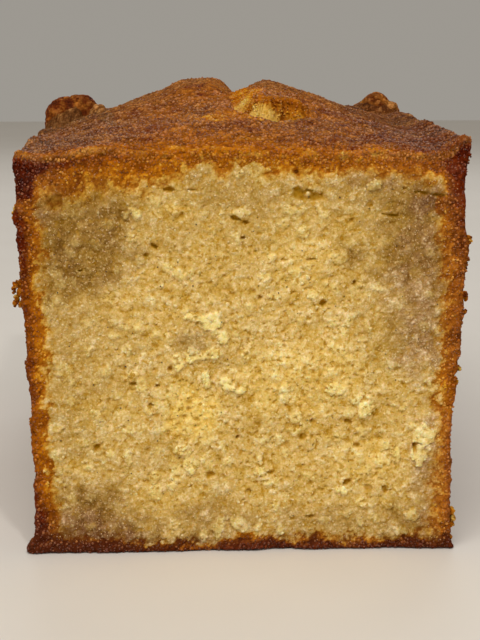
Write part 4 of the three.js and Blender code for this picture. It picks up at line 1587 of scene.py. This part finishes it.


# The last number of each knob is its painted grey sheen, highest on the ridge behind the left knob.
RIM_KNOBS = blobs(
    (-44.2, 87.5, 95.6, 6.4, 5.4, 5.8, 0, 0.78, 0.3), (-41.2, 88, 96, 5.4, 5.2, 5.7, 0, 0.74, 0.35),
    (-37.6, 88.5, 94.6, 4.4, 5, 4.4, 28, 0.66, 0.6), (-48.2, 87.5, 93.8, 2.6, 4.4, 4.2, 0, 0.78, 0.2),
    (-35.6, 78, 97, 2.6, 4.6, 2.7, 38, 0.62, 0.9), (-34.2, 67, 97.1, 2, 5, 1.8, 34, 0.62, 1),
    (44.6, 112, 96.2, 4.8, 5.4, 4.8, 0, 0.64, 0.5), (41.4, 112.5, 94.6, 5.8, 5.4, 4.2, -24, 0.64, 0.6),
    (47.6, 111.4, 94.9, 3.9, 4.6, 3.9, 10, 0.6, 0.8),
)

EDGE_FLAKES = blobs(
    (-50.4, 1.5, 63.6, 0.7, 1.2, 1.1, -40, 0.5), (-51.2, 1.5, 63.1, 0.6, 1.1, 1.3, -50, 0.56),
    (-51.9, 1.4, 62.2, 0.4, 0.8, 0.9, -35, 0.6), (-50.6, 1.6, 61.6, 0.9, 1.2, 1.2, 10, 0.42),
    (-51.3, 1.5, 60.2, 0.6, 1, 0.8, 10, 0.34), (-51.5, 1.5, 59.1, 0.5, 0.9, 0.8, 30, 0.5),
    (-50.6, 1.5, 58.9, 0.5, 0.9, 0.6, 0, 0.46), (-50.9, 1.2, 80.7, 0.7, 1, 0.8, 0, 0.3),
    (-51.3, 1.3, 79.7, 0.5, 1, 0.5, 0, 0.26), (-51.2, 1.5, 78.7, 0.6, 1, 0.7, 0, 0.66),
    (-49.2, 1.3, 44.9, 0.6, 1, 0.7, 20, 0.56), (-48.9, 1.4, 43.7, 0.4, 0.8, 0.5, 0, 0.5),
    (-48.5, 1.2, 31.8, 0.7, 1, 0.8, 0, 0.44), (-48.4, 1.3, 30.6, 0.6, 1, 0.6, 0, 0.4),
    (51, 1.6, 73.5, 0.9, 1.1, 0.5, 0, 0.5), (51.5, 1.6, 72.8, 0.5, 1, 0.8, 0, 0.36),
    (51, 1.6, 72, 0.6, 1, 0.6, 30, 0.5), (50.6, 1.6, 60.3, 0.8, 1.1, 0.7, 0, 0.6),
    (51, 1.6, 59.4, 0.5, 1, 0.7, 0, 0.4), (50.4, 1.6, 56, 0.7, 1.1, 0.5, 20, 0.42),
    (50.9, 1.5, 56.4, 0.4, 0.8, 0.3, 30, 0.4), (49.6, 1.5, 43.1, 0.6, 1, 0.7, 0, 0.36),
    (49.2, 1.5, 39.7, 0.6, 1, 1, 0, 0.46), (48.5, 1.6, 38.2, 0.5, 0.9, 0.7, 0, 0.4),
    (48.9, 1.5, 8.6, 1.1, 1.2, 1.1, 0, 0.42), (49.3, 1.5, 7, 0.9, 1.2, 1.2, 0, 0.36),
    (48.8, 1.5, 5.4, 0.9, 1.2, 1, 0, 0.46), (48.6, 1.3, 2.2, 0.8, 1, 0.9, 0, 0.56),
    (50.9, 1.4, 68.6, 0.4, 0.9, 0.5, 0, 0.5),
)


def clustered(flakes: tuple[Blob, ...], count: int, seed: int) -> tuple[Blob, ...]:
    """Breaks each flake up: a smaller core with many crumbs stuck around it at random.

    Args:
        flakes: the whole flakes.
        count: how many crumbs each gets.
        seed: picks their places.

    Returns:
        Cores and crumbs.
    """
    draw = np.random.default_rng(seed)
    parts, core = [], 0.8
    for flake in flakes:
        wide, tall = flake.half_width * core, flake.half_height * core
        parts.append(replace(flake, half_width=wide, half_height=tall, levels=3))
        for _ in range(count):
            way = draw.normal(size=3)
            way = way / np.linalg.norm(way)
            size = draw.uniform(0.2, 0.45)
            parts.append(replace(
                flake,
                x=flake.x + way[0] * flake.half_width * core,
                depth=flake.depth + way[1] * flake.half_length * core,
                z=flake.z + way[2] * flake.half_height * core,
                half_width=size,
                half_length=size * 1.1,
                half_height=size * draw.uniform(0.7, 1.1),
                brown=flake.brown + draw.uniform(-0.2, 0.15),
                dust=float(draw.choice([0.0, 0.2, 0.6])),
                levels=2,
            ))
    return tuple(parts)


def even_tints(count: int, **given: Array | float) -> Tints:
    """One value of every tint for each lump: 0, or what is given."""
    tints = {name: np.zeros(count) for name in TINTS}
    tints.update({name: np.broadcast_to(np.asarray(value, float), (count,)) for name, value in given.items()})
    return tints


# Vanilla seeds that stand out, by X and height.
SEEDS = (
    (-42.0, 61.6), (-11.5, 63.0), (-19.4, 67.3), (-10.7, 77.0), (7.9, 61.1), (9.8, 62.5), (-34.3, 40.4),
    (-27.0, 44.5), (-18.7, 45.4), (-3.7, 45.8), (-28.2, 34.7), (-42.0, 27.3), (-26.0, 19.3), (14.6, 83.0),
    (21.6, 82.8),
)


# The areas that are strewn, each from one corner to the other: by X and height on the cut and the
# walls, by X and depth on the top.
CUT_AREA = ((-51, 0), (51, 97))
LIP_AREA = ((-51, 84), (51, 98))
SEED_AREA = ((-49, 3), (49, 92))
TOP_AREA = ((-51, 0), (51, 160))
GLINT_AREA = ((-51, 0), (51, 158))
WALL_AREA = ((-3, 1), (3, 92))


@dataclass
class Strewing:
    """Everything that is strewn on the loaf: crumb, crust sugar, butter beads in painted glint colours and
    vanilla seeds.
    """

    face: CutFace
    crust: OuterCrust
    cake: bpy.types.Material
    sugary: bpy.types.Material
    beads: bpy.types.Material
    seeds: bpy.types.Material
    crumb_pitch: float = 1.12
    rim_pitch: float = 0.8
    lip_pitch: float = 0.66
    sugar_pitch: float = 1.25
    nub_pitch: float = 0.95
    nub_reach: float = 50.0
    torn_pitch: float = 0.66
    torn_stretch: float = 0.4
    bead_pitch: float = 0.95
    glint_pitch: float = 1.5
    seed_pitch: float = 5.6

    def build(self) -> None:
        """Makes the pieces, one for each kind."""
        for make in (
            self.crumbs, self.rim_crumbs, self.lip_crumbs, self.wall_crumbs, self.sugar, self.nubs,
            self.torn_crumbs, self.face_beads, self.top_beads, self.vanilla,
        ):
            make()

    def on_cut(self, name: str, finish: bpy.types.Material, seed: int, roughness: float = 0.2) -> FaceCrop:
        """A crop for the cut face, still to be strewn."""
        return FaceCrop(name, finish, "crumb", seed, roughness, self.face)

    def on_top(
        self, name: str, finish: bpy.types.Material, seed: int, roughness: float = 0.2, slot: str = "crust"
    ) -> TopCrop:
        """A crop for the top, still to be strewn."""
        return TopCrop(name, finish, slot, seed, roughness, self.crust)

    def top_tints(self, x: Array, depth: Array) -> Tints:
        """The crust's tints at places on the top."""
        form = self.crust.form
        return self.crust.tints(form.place(x, depth, form.top_height(x, depth)))

    def crumbs(self) -> None:
        """Loose-edged crumb granules all over the cut, each with its own tone."""
        x, z, value = scattered(self.crumb_pitch, 101, *CUT_AREA)
        tints = self.face.tints(x, z)
        keep = (tints["hollow_shade"] < 0.2) & (value > -0.55)
        x, z, value, tints = x[keep], z[keep], value[keep], picked(tints, keep)
        tints["tone"] = np.clip(tints["tone"] * 0.7 + 0.2 + 0.17 * value, 0, 1)
        size = 0.36 + 0.17 * value + 0.1 * tints["pale"]
        self.on_cut("crumb_granules", self.cake, 3).strew(x, z, size, 0.5, tints)

    def rim_crumbs(self) -> None:
        """Rough granules on the browned rim of the cut."""
        x, z, value = scattered(self.rim_pitch, 151, *CUT_AREA)
        tints = self.face.tints(x, z)
        keep = (tints["brown"] > 0.34) & (value > -0.6)
        x, z, value, tints = x[keep], z[keep], value[keep], picked(tints, keep)
        tints["tone"] = np.clip(0.45 + 0.42 * value, 0, 1)
        tints["brown"] = np.clip(tints["brown"] - 0.07 * value, 0.34, 1)
        size = 0.24 + 0.22 * share_of(value) ** 2
        self.on_cut("rim_crumbs", self.sugary, 8, 0.35).strew(x, z, size, 0.3, tints, 0.9)

    def lip_crumbs(self) -> None:
        """Glossy granules along the upper lip of the cut, with a painted grey sheen near the corners."""
        x, z, value = scattered(self.lip_pitch, 191, *LIP_AREA)
        top = self.face.edges(x, z)["top"]
        keep = (top > 0) & (top < 2.8 + 0.8 * unevenness(2.5, 192, x, z)) & (value > -0.8)
        x, z, share = x[keep], z[keep], share_of(value[keep])
        tints = self.face.tints(x, z)
        tints["tone"] = np.clip(0.42 + 0.44 * share**2, 0, 1)
        tints["brown"] = np.clip(tints["brown"] + 0.045 - 0.09 * value[keep], 0.36, 0.8)
        size = 0.22 + 0.24 * share**2
        self.on_cut("lip_crumbs", self.sugary, 12, 0.3).strew(x, z, size, 0.4, tints, 0.9)

    def wall_crumbs(self) -> None:
        """Crumbs on the walls just behind the cut, where the knife tore the crust."""
        across, z, value = scattered(self.rim_pitch, 161, *WALL_AREA)
        keep = (value > -0.4) & (np.abs(across) > 0.3)
        across, z, value = across[keep], z[keep], value[keep]
        walls = WallCrop("wall_crumbs", self.cake, "crust", 9, 0.3, self.crust)
        walls.strew(across, 0.9 + 0.85 * np.abs(across), z, 0.32 + 0.2 * value, 0.2)

    def sugar(self) -> None:
        """Sugary granules on the whole top."""
        x, depth, value = scattered(self.sugar_pitch, 111, *TOP_AREA)
        keep = value > -0.6
        x, depth, value = x[keep], depth[keep], value[keep]
        tints = self.top_tints(x, depth)
        tints["tone"] = np.clip(0.45 + 0.3 * value, 0, 1)
        size = 0.22 + 0.3 * share_of(value) ** 2
        self.on_top("crust_sugar", self.cake, 4).strew(x, depth, size, 0.3, tints)

    def nubs(self) -> None:
        """Round glossy granules, close together, on the front of the top."""
        reach = self.nub_reach
        x, depth, value = scattered(self.nub_pitch, 171, TOP_AREA[0], (TOP_AREA[1][0], reach))
        keep = value > -0.9 + 1.5 * rise(0.4 * reach, reach, depth)
        x, depth, share = x[keep], depth[keep], share_of(value[keep])
        tints = self.top_tints(x, depth)
        tints["tone"] = np.clip(0.35 + 0.65 * share**3, 0, 1)
        size = 0.26 + 0.26 * share**2
        self.on_top("crust_nubs", self.sugary, 10, 0.14).strew(x, depth, size, 0.25, tints, 0.9)

    def torn_crumbs(self) -> None:
        """Crumb granules on the torn wall of the split, closer together along it than across it."""
        front, back = 18 / self.torn_stretch, 90 / self.torn_stretch
        x, depth, value = scattered(self.torn_pitch, 181, (-6, front), (24, back))
        depth = depth * self.torn_stretch
        distance, along, beyond = self.crust.form.nearest_split(x, depth)
        keep = (distance < self.crust.form.wall_width(along)) & (beyond > 0) & (along > 2) & (value > -0.7)
        x, depth, value = x[keep], depth[keep], value[keep]
        tints = self.top_tints(x, depth)
        # Some granules are painted highlights: full tone and strong grey sheen.
        glint = value > 0.62
        tints["tone"] = np.where(glint, 1.0, np.clip(tints["tone"] + 0.3 * value, 0, 1))
        tints["dust"] = np.where(glint, 0.9, tints["dust"])
        tints["brown"] = np.where(glint, np.maximum(tints["brown"], 0.38), tints["brown"])
        size = 0.28 + 0.16 * np.where(glint, -0.4, value)
        self.on_top("torn_crumbs", self.cake, 11, 0.3, "crumb").strew(x, depth, size, 0.2, tints, 0.9)

    def face_beads(self) -> None:
        """Beads in painted glint colours where the cut is damp or crust, and hardly any elsewhere."""
        x, z, value = scattered(self.bead_pitch, 121, *CUT_AREA)
        tints = self.face.tints(x, z)
        wanted = 0.7 * np.clip(tints["damp"] - 0.3, 0, 1) + 0.9 * tints["rose"]
        wanted = wanted + 0.65 * rise(0.4, 0.6, tints["brown"])
        chance = share_of(lattice_value(123, np.round(x * 7), np.round(z * 7)))
        keep = (chance < wanted + 0.01) & (tints["hollow_shade"] < 0.4)
        size = 0.07 + 0.11 * share_of(value[keep]) ** 2
        kept = even_tints(len(size), brown=tints["brown"][keep])
        self.on_cut("butter_glint_beads", self.beads, 5, 0.05).strew(x[keep], z[keep], size, -0.2, kept, 1.0)

    def top_beads(self) -> None:
        """Glinting sugar on the top, densest near the cut."""
        x, depth, value = scattered(self.glint_pitch, 131, *GLINT_AREA)
        chance = share_of(lattice_value(133, np.round(x * 7), np.round(depth * 7)))
        keep = chance < 0.12 + 0.4 * rise(70, 0, depth)
        size = 0.11 + 0.15 * share_of(value[keep]) ** 2
        kept = even_tints(len(size), brown=0.35 + 0.3 * value[keep])
        self.on_top("sugar_glints", self.beads, 6, 0.05).strew(x[keep], depth[keep], size, -0.6, kept)

    def vanilla(self) -> None:
        """Vanilla seeds in the crumb: those that stand out, and a few strewn ones."""
        x, z, value = scattered(self.seed_pitch, 141, *SEED_AREA)
        keep = value > 0.2
        named = np.array(SEEDS)
        x, z = np.concatenate([named[:, 0], x[keep]]), np.concatenate([named[:, 1], z[keep]])
        size = np.concatenate([np.full(len(named), 0.22), 0.1 + 0.1 * value[keep]])
        self.on_cut("vanilla_seeds", self.seeds, 7, 0.1).strew(x, z, size, -0.1, even_tints(len(x)), 0.8)


# --- Studio ---


@dataclass(frozen=True)
class Lamp:
    """One soft light: where it hangs, how large and bright it is, and its colour."""

    name: str
    place: tuple[float, float, float]
    size: float
    watts: float
    colour: tuple[float, float, float] = (1.0, 1.0, 1.0)


@dataclass
class Studio:
    """A pale floor, soft lamps and the camera."""

    lamps: tuple[Lamp, ...] = (
        Lamp("key", (-0.25, -0.75, 0.95), 0.9, 9.6, (1.0, 0.97, 0.92)),
        Lamp("spark", (0.2, -0.8, 0.9), 0.06, 2.5, (1.0, 0.98, 0.95)),
        Lamp("back", (0.1, 0.75, 0.6), 0.6, 1.5, (0.95, 0.97, 1.0)),
    )
    target: tuple[float, float, float] = (0.0, 0.0, 0.05)
    floor_half: float = 1.5
    floor_drop_mm: float = 0.15
    floor_roughness: float = 0.6
    floor_pale: tuple[float, ...] = srgb(222, 217, 210)
    floor_grey: tuple[float, ...] = srgb(214, 208, 200)
    sky: tuple[float, ...] = srgb(214, 208, 198)
    sky_strength: float = 0.5
    camera_mm: tuple[float, float, float] = (-16.4, -416.7, 121.3)
    turned_right: float = 2.64
    looks_down: float = 11.12
    focal_pixels: float = 1512.3
    long_side_pixels: int = 640
    sensor_mm: float = 36.0
    sees_from_to: tuple[float, float] = (0.01, 20.0)

    def build(self) -> None:
        """Makes the camera, the lamps, the floor and the sky."""
        self.make_camera()
        for lamp in self.lamps:
            self.make_lamp(lamp)
        self.make_floor()
        self.make_sky()
        bpy.context.scene.view_settings.view_transform = "Standard"

    def make_camera(self) -> None:
        """A long lens a forearm away, a little above the loaf's top and left of its middle."""
        data = bpy.data.cameras.new("camera")
        data.sensor_width = self.sensor_mm
        data.lens = self.focal_pixels * self.sensor_mm / self.long_side_pixels
        data.clip_start, data.clip_end = self.sees_from_to
        camera = bpy.data.objects.new("camera", data)
        camera.location = Vector(self.camera_mm) * MM
        camera.rotation_euler = (math.radians(90 - self.looks_down), 0.0, math.radians(-self.turned_right))
        bpy.context.scene.collection.objects.link(camera)
        bpy.context.scene.camera = camera

    def make_lamp(self, lamp: Lamp) -> None:
        """A square area lamp that faces the loaf."""
        data = bpy.data.lights.new(lamp.name, "AREA")
        data.size, data.energy, data.color = lamp.size, lamp.watts, lamp.colour
        holder = bpy.data.objects.new(lamp.name, data)
        holder.location = lamp.place
        aim = Vector(self.target) - Vector(lamp.place)
        holder.rotation_mode = "QUATERNION"
        holder.rotation_quaternion = aim.to_track_quat("-Z", "Y")
        bpy.context.scene.collection.objects.link(holder)

    def make_floor(self) -> None:
        """A wide pale sheet just under the loaf."""
        half, drop = self.floor_half, -self.floor_drop_mm * MM
        mesh = bpy.data.meshes.new("floor")
        corners = [(-half, -half, drop), (half, -half, drop), (half, half, drop), (-half, half, drop)]
        mesh.from_pydata(corners, [], [(0, 1, 2, 3)])
        floor = bpy.data.objects.new("floor", mesh)
        sketch = Sketch("pale_floor")
        cloud = sketch.noise(60.0, 3.0)
        tint = sketch.mix(cloud, self.floor_grey, self.floor_pale)
        sketch.finish(Base_Color=tint, Roughness=self.floor_roughness)
        mesh.materials.append(sketch.material)
        bpy.context.scene.collection.objects.link(floor)

    def make_sky(self) -> None:
        """An even pale surround that fills the shadows."""
        world = bpy.data.worlds.new("surround")
        world.use_nodes = True
        background = world.node_tree.nodes["Background"]
        background.inputs["Color"].default_value = self.sky
        background.inputs["Strength"].default_value = self.sky_strength
        bpy.context.scene.world = world


def main() -> None:
    """Builds the loaf piece by piece, then the studio."""
    logging.basicConfig(level=logging.INFO, format="%(name)s %(message)s")
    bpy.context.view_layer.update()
    low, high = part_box(NODE)
    form = LoafForm(length=float(round((high[1] - low[1]) / MM)))
    face, crust = CutFace(form), OuterCrust(form)
    cake = CakeFinish("baked_cake").material()
    CutSlice("cut_slice", cake, "crumb", face, crust).build()
    TopCrust("top_crust", cake, "crust", crust).build()
    TinCrust("tin_crust", cake, "crust", crust).build()
    Blobs("rim_knobs", cake, "crust", crust, RIM_KNOBS).build()
    flakes = clustered(EDGE_FLAKES, count=7, seed=12)
    Blobs("edge_flakes", cake, "crust", crust, flakes, unevenness_share=0.28).build()
    sugary = CakeFinish("sugary_crust", specular=0.42, dull=0.5, shine=0.34).material()
    Strewing(face, crust, cake, sugary, BeadFinish().material(), SeedFinish().material()).build()
    Studio().build()


if __name__ == "__main__":
    main()
